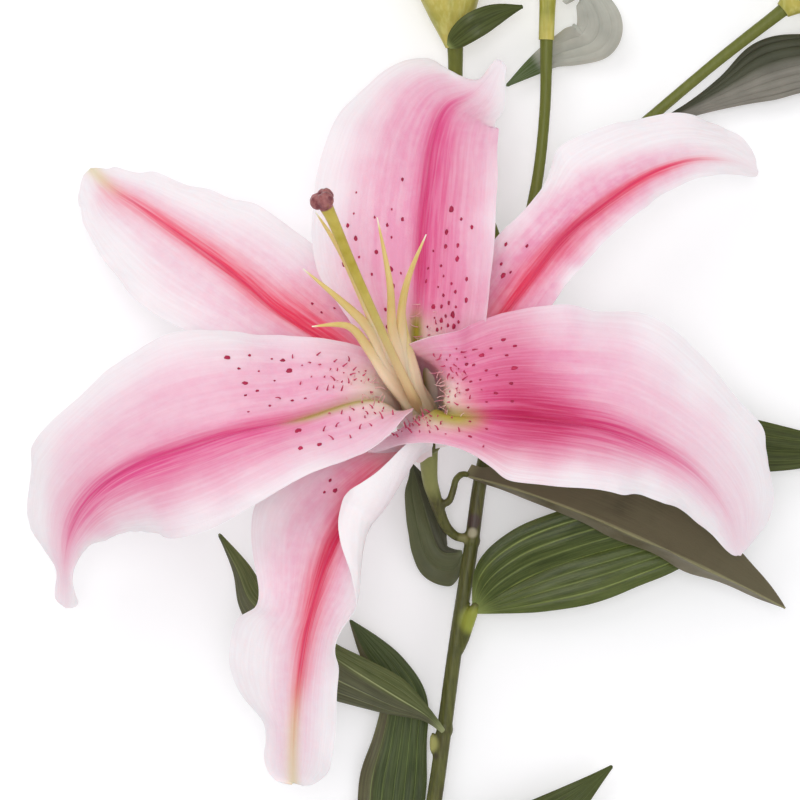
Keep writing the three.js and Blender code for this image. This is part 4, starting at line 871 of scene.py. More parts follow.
def mask(tree, name):
    """One of a piece's own masks."""
    return node(tree, "ShaderNodeAttribute", attribute_name=name).outputs["Fac"]


def lie(tree):
    """How a point lies on its blade, from the UV map."""
    return node(tree, "ShaderNodeUVMap", uv_map="Lie").outputs[0]


def spot_on_part(tree):
    """Where a point is on the whole part, in metres."""
    return node(tree, "ShaderNodeTexCoord").outputs["Object"]


def distance_from(tree, point):
    """How far a surface is, in metres, from a point given in the plant's own frame."""
    given = {0: spot_on_part(tree), 1: tuple((np.asarray(point) - MIDDLE) * MM)}
    return node(tree, "ShaderNodeVectorMath", given, operation="DISTANCE").outputs["Value"]


def painted(tree, colour, name, amount, tone):
    """Lays a tone over a colour where one of the piece's masks says, at most by amount."""
    return mix(tree, maths(tree, "MULTIPLY", mask(tree, name), amount), colour, tone)


def new_group(name, inputs, outputs):
    """A node group with value or vector sockets, and its two end nodes."""
    group = bpy.data.node_groups.new(name, "ShaderNodeTree")
    kinds = {"value": "NodeSocketFloat", "vector": "NodeSocketVector"}
    for label, kind, default in inputs:
        socket = group.interface.new_socket(label, in_out="INPUT", socket_type=kinds[kind])
        if default is not None:
            socket.default_value = default
    for label, kind in outputs:
        group.interface.new_socket(label, in_out="OUTPUT", socket_type=kinds[kind])
    return group, group.nodes.new("NodeGroupInput"), group.nodes.new("NodeGroupOutput")


def streaks_group():
    """Fine streaks that run along a blade, from its lie, with their width and length."""
    group, given, result = new_group(
        "Fine Streaks",
        [
            ("Lie", "vector", None), ("Width", "value", 1.0), ("Length", "value", 20.0),
            ("Shift", "value", 0.0),
        ],
        [("Streaks", "value")],
    )
    parts = node(group, "ShaderNodeSeparateXYZ", {0: given.outputs["Lie"]})
    across, along = [
        maths(group, "DIVIDE", maths(group, "MULTIPLY", part, UV_UNIT), given.outputs[size])
        for part, size in zip(parts.outputs, ("Width", "Length"))
    ]
    place = node(group, "ShaderNodeCombineXYZ", {0: across, 1: along, 2: given.outputs["Shift"]})
    noise = node(group, "ShaderNodeTexNoise", {
        "Vector": place.outputs[0], "Scale": 1.0, "Detail": 3.0, "Roughness": 0.6,
    })
    group.links.new(span(group, noise.outputs["Fac"], 0.3, 0.7), result.inputs["Streaks"])
    return group


def mottle_group():
    """Soft patches, with their size in millimetres."""
    group, given, result = new_group(
        "Soft Mottle",
        [("Size", "value", 10.0), ("Shift", "value", 0.0), ("Contrast", "value", 1.0)],
        [("Patches", "value")],
    )
    scale = maths(group, "DIVIDE", 1 / MM, given.outputs["Size"])
    noise = node(group, "ShaderNodeTexNoise", {
        "Vector": spot_on_part(group), "W": given.outputs["Shift"], "Scale": scale, "Detail": 4.0,
        "Roughness": 0.55,
    }, noise_dimensions="4D")
    centred = maths(group, "SUBTRACT", noise.outputs["Fac"], 0.5)
    spread = maths(group, "MULTIPLY", centred, maths(group, "MULTIPLY", given.outputs["Contrast"], 3.0))
    group.links.new(maths(group, "ADD", spread, 0.5, clamp=True), result.inputs["Patches"])
    return group


def grain_group():
    """The grain of plant skin as a normal: tiny cells, with their size in millimetres."""
    group, given, result = new_group(
        "Skin Grain",
        [("Size", "value", 0.5), ("Strength", "value", 0.2)],
        [("Normal", "vector"), ("Grain", "value")],
    )
    scale = maths(group, "DIVIDE", 1 / MM, given.outputs["Size"])
    noise = node(group, "ShaderNodeTexNoise", {
        "Vector": spot_on_part(group), "Scale": scale, "Detail": 2.0, "Roughness": 0.5,
    })
    bumped = node(group, "ShaderNodeBump", {
        "Height": noise.outputs["Fac"], "Strength": given.outputs["Strength"], "Distance": 0.2 * MM,
    })
    group.links.new(bumped.outputs[0], result.inputs["Normal"])
    group.links.new(noise.outputs["Fac"], result.inputs["Grain"])
    return group


def fibres_group():
    """Fine lines that run along the stem and the buds. Scale is how close they are."""
    group, given, result = new_group("Long Fibres", [("Scale", "value", 1000.0)], [("Fibres", "value")])
    stretched = node(group, "ShaderNodeMapping", {"Vector": spot_on_part(group), "Scale": (1.0, 0.12, 1.0)})
    noise = node(group, "ShaderNodeTexNoise", {
        "Vector": stretched.outputs[0], "Scale": given.outputs["Scale"], "Detail": 3.0,
    })
    group.links.new(noise.outputs["Fac"], result.inputs["Fibres"])
    return group


GROUPS = {}


def effect(tree, maker, **inputs):
    """Places a shared effect, which is made the first time that it is asked for."""
    if maker.__name__ not in GROUPS:
        GROUPS[maker.__name__] = maker()
    return node(tree, "ShaderNodeGroup", inputs, node_tree=GROUPS[maker.__name__]).outputs


def skin_grain(tree, shader, size, strength):
    """Gives a skin its fine grain, and puts out how high the grain stands."""
    grain = effect(tree, grain_group, Size=size, Strength=strength)
    tree.links.new(grain["Normal"], shader.inputs["Normal"])
    return grain["Grain"]


def new_material(name):
    """A new material, its node tree and its shader."""
    material = bpy.data.materials.new(name)
    material.use_nodes = True
    tree = material.node_tree
    return material, tree, tree.nodes["Principled BSDF"]


# How strongly wet plant tissue bends light, and how far red, green and blue go in it,
# next to each other.
TISSUE_IOR = 1.4
TISSUE_DEPTHS = (1.0, 0.55, 0.5)


def tissue(shader, weight, radius, roughness, specular=0.5):
    """Lets some light into the skin: radius is how far it goes, in millimetres."""
    shader.inputs["Subsurface Weight"].default_value = weight
    shader.inputs["Subsurface Radius"].default_value = TISSUE_DEPTHS
    shader.inputs["Subsurface Scale"].default_value = radius * MM
    shader.inputs["Roughness"].default_value = roughness
    shader.inputs["IOR"].default_value = TISSUE_IOR
    shader.inputs["Specular IOR Level"].default_value = specular


# ------------------------------------------------------------------ materials
def tepal_skin(name, colours, band, mottled):
    """Petal skin: a pale margin, a pink blush, a deep band by the midrib, a green furrow."""
    material, tree, shader = new_material(name)
    place = lie(tree)
    fine = effect(tree, streaks_group, Lie=place, Width=0.8, Length=26.0)["Streaks"]
    broad = effect(tree, streaks_group, Lie=place, Width=3.2, Length=30.0, Shift=4.0)["Streaks"]
    patches = effect(tree, mottle_group, Size=2.6, Contrast=1.2)["Patches"]
    mottle = span(tree, patches, 0.0, 1.0, 1.0 - mottled, 1.0 + mottled)
    mottled_blush = maths(tree, "MULTIPLY", mask(tree, "blush"), mottle)
    streaked = maths(tree, "MULTIPLY", mottled_blush, span(tree, broad, 0.0, 1.0, 0.88, 1.12), clamp=True)
    colour = mix(tree, streaked, tuple(colours.margin), tuple(colours.blush))
    streaks = span(tree, fine, 0.0, 1.0, 0.76, 1.24)
    for key, tone in (("band", band), ("deep", colours.deep)):
        strength = maths(tree, "MULTIPLY", mask(tree, key), streaks, clamp=True)
        colour = mix(tree, strength, colour, tuple(tone))
    # The throat's cream, painted paler than the tissue, stands in for light shining through the funnel.
    for key, amount, tone in (
        ("core", 0.4, colours.core), ("throat", 0.85, colours.throat),
        ("green", 0.95, colours.furrow), ("tip", 0.55, colours.tip),
    ):
        colour = painted(tree, colour, key, amount, tuple(tone))
    colour = mix(tree, span(tree, fine, 0.0, 1.0, 0.0, 0.05), colour, tuple(colours.core))
    faded = mix(tree, 0.7, colour, tuple(colours.reverse))
    colour = mix(tree, mask(tree, "reverse"), colour, faded)
    tree.links.new(colour, shader.inputs["Base Color"])
    grain = skin_grain(tree, shader, 0.45, 0.35)
    tree.links.new(span(tree, grain, 0.3, 0.7, 0.42, 0.6), shader.inputs["Roughness"])
    tissue(shader, 0.3, 1.0, 0.5)
    return material


def plain_skin(name, first, second, size):
    """Skin with soft patches of two colours, for small fleshy pieces."""
    material, tree, shader = new_material(name)
    patches = effect(tree, mottle_group, Size=size, Contrast=1.3)["Patches"]
    tree.links.new(mix(tree, patches, first, second), shader.inputs["Base Color"])
    skin_grain(tree, shader, 0.5, 0.3)
    tissue(shader, 0.2, 1.0, 0.4)
    return material


# The near-black green that a leaf's dull patches go towards.
LEAF_SHADE = (0.004, 0.005, 0.002, 1.0)

# Leaf skins: the upper face, its second colour, the back, the veins, and how rough it is.
LEAF_SKINS = {
    "fresh": (srgb(62, 74, 28), srgb(84, 96, 46), srgb(96, 88, 62), srgb(160, 174, 100), 0.34),
    "green": (srgb(64, 72, 30), srgb(64, 72, 30), srgb(96, 88, 62), srgb(152, 164, 96), 0.34),
    "banded": (srgb(66, 78, 40), srgb(94, 88, 66), srgb(96, 88, 62), srgb(160, 176, 112), 0.42),
    "purple": (srgb(84, 92, 50), srgb(84, 84, 62), srgb(96, 88, 62), srgb(172, 178, 126), 0.4),
    # The bract's second colour is a painted highlight: the pale grey of the half of its underside that the
    # light falls on.
    "bract": (srgb(98, 90, 68), srgb(150, 142, 124), srgb(98, 90, 68), srgb(146, 142, 104), 0.42),
    "grey": (srgb(92, 96, 66), srgb(66, 66, 48), srgb(92, 96, 66), srgb(120, 128, 92), 0.45),
    "silver": (srgb(138, 134, 124), srgb(78, 80, 62), srgb(112, 110, 92), srgb(72, 70, 58), 0.5),
    "pale": (srgb(190, 190, 178), srgb(78, 98, 42), srgb(176, 182, 168), srgb(206, 206, 196), 0.5),
}


def leaf_skin(name):
    """Leaf skin: two colours above, a dull back and pale parallel veins."""
    top, second, under, vein, roughness = LEAF_SKINS[name]
    material, tree, shader = new_material(f"{name.capitalize()} leaf skin")
    place = lie(tree)
    fine = effect(tree, streaks_group, Lie=place, Width=0.5, Length=16.0)["Streaks"]
    patches = effect(tree, mottle_group, Size=14.0, Contrast=1.0)["Patches"]
    upper = mix(tree, mask(tree, "second"), top, second)
    upper = mix(tree, maths(tree, "MULTIPLY", patches, 0.34), upper, LEAF_SHADE)
    upper = mix(tree, span(tree, fine, 0.0, 1.0, 0.0, 0.12), upper, vein)
    colour = mix(tree, mask(tree, "reverse"), upper, mix(tree, patches, under, upper))
    veins = maths(tree, "MULTIPLY", mask(tree, "vein"), span(tree, patches, 0.0, 1.0, 1.0, 0.6))
    colour = mix(tree, veins, colour, vein)
    colour = painted(tree, colour, "base", 0.6, vein)
    tree.links.new(colour, shader.inputs["Base Color"])
    skin_grain(tree, shader, 0.6, 0.25)
    gloss = span(tree, mask(tree, "reverse"), 0.0, 1.0, roughness, 0.6)
    tree.links.new(gloss, shader.inputs["Roughness"])
    tissue(shader, 0.12, 0.8, roughness, 0.3)
    return material


def bud_skin(plant):
    """Bud skin: green patches, pale fibres, dark keels and seams, and pink by the tip."""
    material, tree, shader = new_material("Bud skin")
    patches = effect(tree, mottle_group, Size=14.0, Contrast=1.2)["Patches"]
    fibres = effect(tree, fibres_group, Scale=900.0)["Fibres"]
    colour = mix(tree, patches, tuple(plant.bud), tuple(plant.bud_dark))
    colour = mix(tree, span(tree, fibres, 0.4, 0.7, 0.0, 0.4), colour, srgb(214, 212, 140))
    colour = painted(tree, colour, "keel", 0.5, tuple(plant.bud_dark))
    ripe = span(tree, mask(tree, "along"), 0.25, 0.9)
    pink = maths(tree, "MULTIPLY", ripe, span(tree, patches, 0.2, 0.8, 0.5, 0.1))
    colour = mix(tree, pink, colour, srgb(226, 170, 176))
    colour = painted(tree, colour, "seam", 0.7, srgb(104, 112, 44))
    tree.links.new(colour, shader.inputs["Base Color"])
    skin_grain(tree, shader, 0.7, 0.3)
    tissue(shader, 0.2, 1.2, 0.38)
    return material


# ------------------------------------------------------------------ settings
def colour_property(name, description, default):
    """A colour that a user can change."""
    return bpy.props.FloatVectorProperty(
        name=name, description=description, subtype="COLOR", size=4, min=0.0, max=1.0, default=default,
    )


def length_property(name, description, default):
    """A size that a user can change, with its default in millimetres."""
    return bpy.props.FloatProperty(
        name=name, description=description, default=default * MM, min=0.0, subtype="DISTANCE", unit="LENGTH",
        precision=5,
    )


def light_property(name, description, default, unit="NONE"):
    """A strength of light that a user can change."""
    return bpy.props.FloatProperty(name=name, description=description, default=default, unit=unit)


class LilyFlowerSettings(bpy.types.PropertyGroup):
    """Sizes and colours of the open flower."""

    margin: colour_property("Margin", "Colour of the tepals' margins", srgb(242, 234, 238))
    blush: colour_property("Blush", "Pink of the tepals' middle", srgb(230, 158, 189))
    petal_band: colour_property("Petal band", "Deep pink beside a petal's midrib", srgb(224, 82, 144))
    sepal_band: colour_property("Sepal band", "Coral red beside a sepal's midrib", srgb(236, 70, 104))
    deep: colour_property("Deep pink", "Darkest pink, near the furrow", srgb(186, 24, 82))
    core: colour_property("Midrib", "Colour of the midrib's line", srgb(190, 44, 96))
    furrow: colour_property("Furrow", "Green of a petal's furrow", srgb(164, 160, 10))
    # The throat's cream is partly painted light: paler than the tissue, to stand in for light shining through
    # the funnel.
    throat: colour_property("Throat", "Cream of the tepals' throat", srgb(242, 230, 216))
    tip: colour_property("Tip", "Yellow green of the tips", srgb(214, 206, 138))
    reverse: colour_property("Reverse", "Colour of the tepals' backs", srgb(246, 238, 240))
    spot: colour_property("Spots", "Crimson of the spots", srgb(150, 12, 58))
    papilla: colour_property("Papillae", "Pink of the papillae near the throat", srgb(206, 84, 120))
    thickness: length_property("Tepal thickness", "Thickness of a tepal at its midrib", 0.8)
    margin_thickness: length_property("Margin thickness", "Thickness of a tepal at its margin", 0.22)


class LilyPlantSettings(bpy.types.PropertyGroup):
    """Sizes and colours of the stem, the leaves and the buds."""

    stem: colour_property("Stem", "Olive green of the stem", srgb(72, 74, 26))
    stem_dark: colour_property("Stem patches", "Brown of the stem's patches", srgb(70, 62, 34))
    bud: colour_property("Bud", "Yellow green of the buds", srgb(204, 188, 98))
    bud_dark: colour_property("Bud, dark", "Darker green of the buds", srgb(146, 144, 52))
    leaf_thickness: length_property("Leaf thickness", "Thickness of a leaf at its midrib", 0.55)
    voxel: length_property("Stem fineness", "Size of the cells that the stem is melted with", 0.42)


class LilyStageSettings(bpy.types.PropertyGroup):
    """Floor, light and camera."""

    floor: colour_property("Floor", "Colour of the pale floor", srgb(236, 236, 238))
    sky: light_property("Fill", "Strength of the light from all round", 0.64)
    key: light_property("Key", "Power of the soft light above", 5.4, "POWER")
    glow: light_property("Glow", "Light that the floor gives off", 0.22)


# ------------------------------------------------------------------ operators
class LilyOperator:
    """What all the lily's operators share."""

    bl_options = {"REGISTER", "UNDO"}


# Rows and columns of a tepal's grid, and how much closer the columns are by the midrib.
TEPAL_ROWS = 181
TEPAL_COLUMNS = 89
CLOSENESS = 1.25


class LILY_OT_tepals(LilyOperator, bpy.types.Operator):
    """Makes the three inner petals and the three outer sepals"""

    bl_idname = "lily.tepals"
    bl_label = "Petals and sepals"

    def execute(self, context):
        colours = context.scene.lily_flower
        skins = {
            "petal": tepal_skin("Petal skin", colours, tuple(colours.petal_band), 0.05),
            "sepal": tepal_skin("Sepal skin", colours, tuple(colours.sepal_band), 0.12),
        }
        even = np.linspace(-1, 1, TEPAL_COLUMNS)
        s = np.sign(even) * np.abs(even) ** CLOSENESS
        t = np.linspace(0, 1, TEPAL_ROWS)
        thick, thin = colours.thickness / MM, colours.margin_thickness / MM
        for name in TEPALS:
            form = tepal_form(name)
            middle, rib, uv, share = tepal_surface(form, name, t, s)
            fleshy = (1 - 0.55 * t)[:, None] * (1 - share) ** 0.8
            thickness = thin + (thick - thin) * fleshy
            masks = tepal_masks(name, t, s, rib, form["seed"])
            piece = thin_body(f"lily_{name}", middle, thickness, uv, masks)
            kind = name.split("_")[0]
            slot = {"petal": "inner_petal", "sepal": "outer_sepal"}[kind]
            hand_over(piece, skins[kind], slot, name)
        return {"FINISHED"}


def place_on(form, name, t, s):
    """Points on a tepal's upper face at pairs of t and s, with the directions there."""
    step_t, step_s = 0.004, 0.03
    places, alongs, normals = [], [], []
    for one_t, one_s in zip(t, s):
        near_t = np.array([one_t - step_t, one_t, one_t + step_t])
        near_s = np.array([one_s - step_s, one_s, one_s + step_s])
        middle = tepal_surface(form, name, near_t, near_s)[0]
        along = unit(middle[2, 1] - middle[0, 1])
        normal = unit(np.cross(along, middle[1, 2] - middle[1, 0]))
        places.append(middle[1, 1])
        alongs.append(along)
        normals.append(normal)
    return np.array(places), np.array(alongs), np.array(normals)


def scatter(form, groups, draw):
    """Places of a tepal's spots, apart from each other: lists of t and s."""
    chosen, taken = [], []
    for count, (t_low, t_high), (s_low, s_high) in groups:
        found = 0
        for _ in range(count * 12):
            if found == count:
                break
            t = t_low + (t_high - t_low) * draw.beta(1.2, 1.6)
            s = s_low + (s_high - s_low) * draw.beta(1.6, 1.6)
            point = blade_surface(form, np.array([t]), np.array([s]))[0][0, 0]
            gap = draw.uniform(0.9, 2.2) + 2.0 * smooth_step(t_low, t_high, t)
            if all(np.linalg.norm(point - other) > gap for other in taken):
                taken.append(point)
                chosen.append((t, s))
                found += 1
    return np.array(chosen)


def papilla(foot, along, beside, normal, draw, low, high, thick):
    """A thin bent finger of skin, from low to high millimetres long."""
    length = draw.uniform(low, high)
    lean = along * draw.uniform(-0.5, 0.9) + beside * draw.uniform(-0.6, 0.6)
    base = foot - 0.3 * normal
    rows = [(*base, thick)]
    for up, over, radius in ((0.45, 0.12, 0.6 * thick), (0.8, 0.4, 0.5 * thick), (1, 0.8, 0.07)):
        rows.append((*(base + (up * normal + over * lean) * length), radius))
    return sweep(rows, 8, 8)[:2]


def spot(place, along, beside, normal, draw, seed):
    """A raised ragged spot, a little longer than it is wide."""
    size = 0.26 + 0.56 * draw.beta(1.2, 2.4)
    points, faces = ball((0, 0, 0), (1, 1, 1), 7, 12)
    ragged = 1 + 0.22 * uneven(points[:, 0] * 0.8, points[:, 1] * 0.8, seed)
    local = points * (0.8 * size, 1.2 * size, 0.3) * ragged[:, None]
    return local @ np.stack([beside, along, normal]) + place, faces


# Each kind of papilla: its shortest and longest length, and its radius.
CRIMSON_PAPILLA = (0.8, 2.2, 0.32)
PALE_PAPILLA = (1.4, 3.2, 0.18)


class LILY_OT_spots(LilyOperator, bpy.types.Operator):
    """Makes the raised crimson spots, and the papillae near the throat"""

    bl_idname = "lily.spots"
    bl_label = "Spots and papillae"

    def execute(self, context):
        colours = context.scene.lily_flower
        skins = {
            "spots": plain_skin("Spot skin", tuple(colours.spot), srgb(186, 30, 80), 3.0),
            "papillae": plain_skin("Papilla skin", tuple(colours.papilla), srgb(176, 40, 84), 2.0),
            "pale_papillae": plain_skin("Pale papilla skin", srgb(240, 200, 196), srgb(218, 130, 152), 2.5),
        }
        top = colours.thickness / MM * 0.25
        for name, sizes in TEPALS.items():
            form = tepal_form(name)
            draw = np.random.default_rng(form["seed"] + 300)
            t, s = scatter(form, sizes["spots"], draw).T
            made = {kind: [] for kind in skins}
            for k, (place, along, normal) in enumerate(zip(*place_on(form, name, t, s))):
                beside = np.cross(normal, along)
                if "furrow" in sizes and t[k] < sizes["furrow"][1] - 0.04 + 0.04 * draw.uniform(-1, 1):
                    made["papillae"].append(papilla(place, along, beside, normal, draw, *CRIMSON_PAPILLA))
                else:
                    raised = place + normal * top
                    made["spots"].append(spot(raised, along, beside, normal, draw, 500 + k))
            if "papillae" in sizes:
                t, s = scatter(form, sizes["papillae"], draw).T
                for place, along, normal in zip(*place_on(form, name, t, s)):
                    beside = np.cross(normal, along)
                    made["pale_papillae"].append(papilla(place, along, beside, normal, draw, *PALE_PAPILLA))
            slot = "inner_petal" if name.startswith("petal") else "outer_sepal"
            for kind, bodies in made.items():
                if bodies:
                    hand_over(put_mesh(f"{kind}_{name}", *gather(bodies)), skins[kind], slot)
        return {"FINISHED"}


# The stigma's lobes: their radius, how far from the middle they are, how far the knob's
# middle is past the style's end, and its radius, over which its colour fades. Then the
# heights between which the style goes over from cream to green.
LOBE_RADIUS = 1.95
LOBE_AWAY = 1.25
KNOB_AHEAD = 1.4
KNOB_EDGE = (3.2, 3.7)
STYLE_CREAM = (54, 80)
# Size of the cells that the pistil is melted with.
PISTIL_VOXEL = 0.17


class LILY_OT_pistil(LilyOperator, bpy.types.Operator):
    """Makes the pistil: the ovary, the long style and the three-lobed stigma"""

    bl_idname = "lily.pistil"
    bl_label = "Pistil"

    def execute(self, context):
        style_end = unit(blend(PISTIL_PATH, 1.0)[0, :3] - blend(PISTIL_PATH, 0.96)[0, :3])
        bodies = [sweep(PISTIL_PATH, 24, 120, lambda t, angle: 1 + 0.07 * np.cos(3 * angle))[:2]]
        reference = unit(np.cross(style_end, np.cross((0, 0, 1.0), style_end)))
        sideways = np.cross(style_end, reference)
        for turn in (20, 140, 260):
            angle = math.radians(turn)
            away = reference * math.cos(angle) + sideways * math.sin(angle)
            points, faces = ball((0, 0, 0), (1, 1, 1), 22, 32)
            groove = 1 - 0.16 * bump(np.abs(points @ np.cross(style_end, away)), 0, 0.16)
            warts = 1 + 0.05 * uneven(points[:, 0] * 4, points[:, 1] * 4 + points[:, 2] * 3, turn)
            lobe = points * LOBE_RADIUS * (groove * warts)[:, None]
            bodies.append((lobe + np.array(STIGMA) + away * LOBE_AWAY + style_end * KNOB_AHEAD / 2, faces))
        piece = fused("lily_pistil", bodies, PISTIL_VOXEL, 2)
        material, tree, shader = new_material("Pistil skin")
        distance = distance_from(tree, np.array(STIGMA) + style_end * KNOB_AHEAD)
        stigma = span(tree, distance, *(edge * MM for edge in KNOB_EDGE), 1.0, 0.0)
        patches = effect(tree, mottle_group, Size=5.0, Contrast=1.0)["Patches"]
        style_colour = mix(tree, patches, srgb(172, 154, 48), srgb(196, 178, 84))
        height = node(tree, "ShaderNodeSeparateXYZ", {0: spot_on_part(tree)}).outputs[2]
        cream = span(tree, height, *(end * MM for end in STYLE_CREAM), 1.0, 0.0)
        style_colour = mix(tree, cream, style_colour, srgb(228, 206, 154))
        speckles = effect(tree, mottle_group, Size=1.6, Contrast=1.5)["Patches"]
        knob = mix(tree, speckles, srgb(116, 56, 62), srgb(162, 102, 100))
        tree.links.new(mix(tree, stigma, style_colour, knob), shader.inputs["Base Color"])
        skin_grain(tree, shader, 0.5, 0.5)
        tissue(shader, 0.2, 1.2, 0.32)
        hand_over(piece, material, "pistil", "pistil")
        return {"FINISHED"}


def filament_shape(t, angle):
    """Flattened towards the base, round by the point."""
    return 1 - 0.3 * (1 - smooth_step(0.5, 0.95, t)) * np.cos(2 * angle)


class LILY_OT_filaments(LilyOperator, bpy.types.Operator):
    """Makes the six bare filaments round the ovary"""

    bl_idname = "lily.filaments"
    bl_label = "Filaments"

    def execute(self, context):
        material, tree, shader = new_material("Filament skin")
        along = node(tree, "ShaderNodeSeparateXYZ", {0: lie(tree)}).outputs[1]
        patches = effect(tree, mottle_group, Size=6.0, Contrast=1.0)["Patches"]
        body = mix(tree, patches, srgb(212, 190, 116), srgb(222, 200, 136))
        # The lower filaments' pale cream is partly painted light: paler than they are, to stand in for light
        # shining through them in the funnel.
        body = mix(tree, span(tree, along, 0.5, 0.8, 1.0, 0.0), body, srgb(246, 224, 194))
        body = mix(tree, span(tree, along, 0.95, 1.0), body, srgb(244, 236, 212))
        tree.links.new(body, shader.inputs["Base Color"])
        skin_grain(tree, shader, 0.5, 0.25)
        tissue(shader, 0.5, 2.0, 0.4)
        sides, steps = 20, 90
        for i, (azimuth, way, tip) in enumerate(FILAMENTS):
            rows = [
                (*funnel(azimuth, 0.7, FILAMENT_RING), 0.55), (*funnel(azimuth, 13, 3.0), 1.0),
                *((*place, radius) for place, radius in zip(way, FILAMENT_RADII)), (*tip, 0.14),
            ]
            points, faces, t = sweep(rows, sides, steps, filament_shape)
            v = np.concatenate([np.repeat(t, sides), [0, 1]])
            uv = np.stack([np.full_like(v, 0.5), v], 1)
            piece = put_mesh(f"lily_filament_{i + 1}", points, faces, uv)
            hand_over(piece, material, "filament", f"filament_{i + 1}")
        return {"FINISHED"}


def ribbed(t, angle):
    """The stem's faint ribs, which wind a little."""
    return 1 + 0.025 * np.cos(5 * angle + 9 * t) + 0.012 * np.cos(11 * angle - 14 * t)


# Where along the part, in millimetres, the stem goes over to a fresher green.
FRESH_STEM = (40, 100)


class LILY_OT_stem(LilyOperator, bpy.types.Operator):
    """Makes the branching stem, melted into one skin and resting on the surface"""

    bl_idname = "lily.stem"
    bl_label = "Stem"

    def execute(self, context):
        plant = context.scene.lily_plant
        paths = [
            MAIN_STEM, FLOWER_STALK, RECEPTACLE_ROWS, BRACT_STALK, FIRST_BUD_STALK, THIRD_BUD_STALK,
            LEAF_STALK,
        ]
        bodies = [sweep(rows, 28, 20 + 14 * len(rows), ribbed)[:2] for rows in paths]
        bodies += [ball(centre, radii) for centre, radii in KNOTS]
        piece = fused("lily_stem", bodies, plant.voxel / MM, 3)
        for vertex in piece.data.vertices:
            vertex.co.z = max(vertex.co.z, 0.0)
        material, tree, shader = new_material("Stem skin")
        fibres = effect(tree, fibres_group, Scale=1300.0)["Fibres"]
        patches = effect(tree, mottle_group, Size=16.0, Contrast=1.4)["Patches"]
        brown = span(tree, patches, 0.45, 0.95, 0.0, 0.6)
        colour = mix(tree, brown, tuple(plant.stem), tuple(plant.stem_dark))
        colour = mix(tree, span(tree, fibres, 0.35, 0.7, 0.0, 0.35), colour, srgb(118, 120, 56))
        along = node(tree, "ShaderNodeSeparateXYZ", {0: spot_on_part(tree)}).outputs[1]
        fresh = span(tree, along, *(end * MM for end in FRESH_STEM), 0.0, 0.6)
        colour = mix(tree, fresh, colour, srgb(110, 118, 36))
        for *centre, radius, tone, amount in STEM_MARKS:
            distance = distance_from(tree, centre)
            near = span(tree, distance, 0.45 * radius * MM, radius * MM, amount, 0.0)
            colour = mix(tree, near, colour, tone)
        tree.links.new(colour, shader.inputs["Base Color"])
        skin_grain(tree, shader, 0.7, 0.35)
        tissue(shader, 0.1, 0.8, 0.42)
        hand_over(piece, material, "stem", "stem")
        return {"FINISHED"}


def bud_body(start, end, radius, profile, sides=72, rings=120):
    """A closed bud: three scales whose edges meet in seams, each with a keel."""
    start, end = np.array(start), np.array(end)
    length = np.linalg.norm(end - start)
    along = (end - start) / length
    across = unit(np.array([0, 0, 1.0]) - along * along[2])
    beside = np.cross(along, across)
    t = np.linspace(0, 1, rings)
    swelling = soften(blend(np.array(profile)[:, None], PATH_SHARES), 6)[:, 0]
    girth = np.interp(t, PATH_SHARES, swelling)
    angle = 2 * math.pi * np.arange(sides) / sides
    body = t[:, None] * np.ones(sides)
    turned = angle + 0.25 * body
    seam = np.abs(np.angle(np.exp(1j * 3 * turned))) / 3
    keel = math.pi / 3 - seam
    r = radius * girth[:, None] * (1 - 0.05 * np.cos(3 * angle)) * np.ones_like(body)
    open_end = smooth_step(0.02, 0.3, body)
    r = r - 0.75 * bump(seam, 0, 0.07) * open_end * girth[:, None]
    r = r + 0.45 * bump(keel, 0, 0.16) * open_end * girth[:, None]
    r = r + 0.2 * bump(seam, 0.26, 0.1) * open_end
    r = r * (1 + 0.012 * uneven(body * 9, angle / 2, int(radius * 10)))
    r = np.maximum(r, 0.25)
    centre = start + along * (t * length)[:, None]
    points = centre[:, None] + across * (r * np.cos(angle))[..., None]
    points = points + beside * (r * np.sin(angle))[..., None]
    masks = {"seam": bump(seam, 0, 0.09) * open_end, "keel": bump(keel, 0, 0.2), "along": body}
    points = np.concatenate([points.reshape(-1, 3), np.array([start, end])])
    masks = {key: np.concatenate([value.ravel(), [0, 1]]) for key, value in masks.items()}
    points[:, 2] = np.maximum(points[:, 2], 0.0)
    return points, rings_faces(rings, sides), masks


class LILY_OT_buds(LilyOperator, bpy.types.Operator):
    """Makes the three closed buds"""

    bl_idname = "lily.buds"
    bl_label = "Buds"

    def execute(self, context):
        material = bud_skin(context.scene.lily_plant)
        for name, sizes in BUDS.items():
            points, faces, masks = bud_body(*sizes)
            piece = put_mesh(f"lily_{name}", points, faces, None, masks)
            hand_over(piece, material, "bud", name)
        return {"FINISHED"}


# A vein's half width as a share of the leaf's, where most leaves have their veins, the
# rows of a leaf's grid, and how thick its margin is.
VEIN_SHARE = 0.03
PLAIN_VEINS = (0, 0.26, 0.52, 0.78)
LEAF_ROWS = 109
LEAF_MARGIN = 0.22


def leaf_columns(veins):
    """Columns across a leaf: five on each vein, and even ones between veins."""
    half = {0.0, 1.0}
    for vein in veins:
        for k in (-2, -1, 0, 1, 2):
            half.add(round(abs(vein + k * VEIN_SHARE / 2), 4))
    edges = [*veins, 1.0]
    for low, high in zip(edges, edges[1:]):
        count = max(3, round((high - low) / 0.08))
        for k in range(1, count):
            half.add(round(low + VEIN_SHARE + (high - low - 2 * VEIN_SHARE) * k / count, 4))
    half = sorted(half)
    return np.array([-s for s in half[:0:-1]] + half)


def vein_mask(share, veins, seed):
    """How strongly a vein shows at each share of a leaf's width."""
    vein = np.zeros_like(share)
    for k, place in enumerate(veins):
        near = np.clip(1 - np.abs(share - place) / VEIN_SHARE, 0, 1)
        strength = 1.0 if k == 0 else 0.7 + 0.25 * math.sin(5.0 * k + seed)
        vein = np.maximum(vein, near * strength)
    return vein


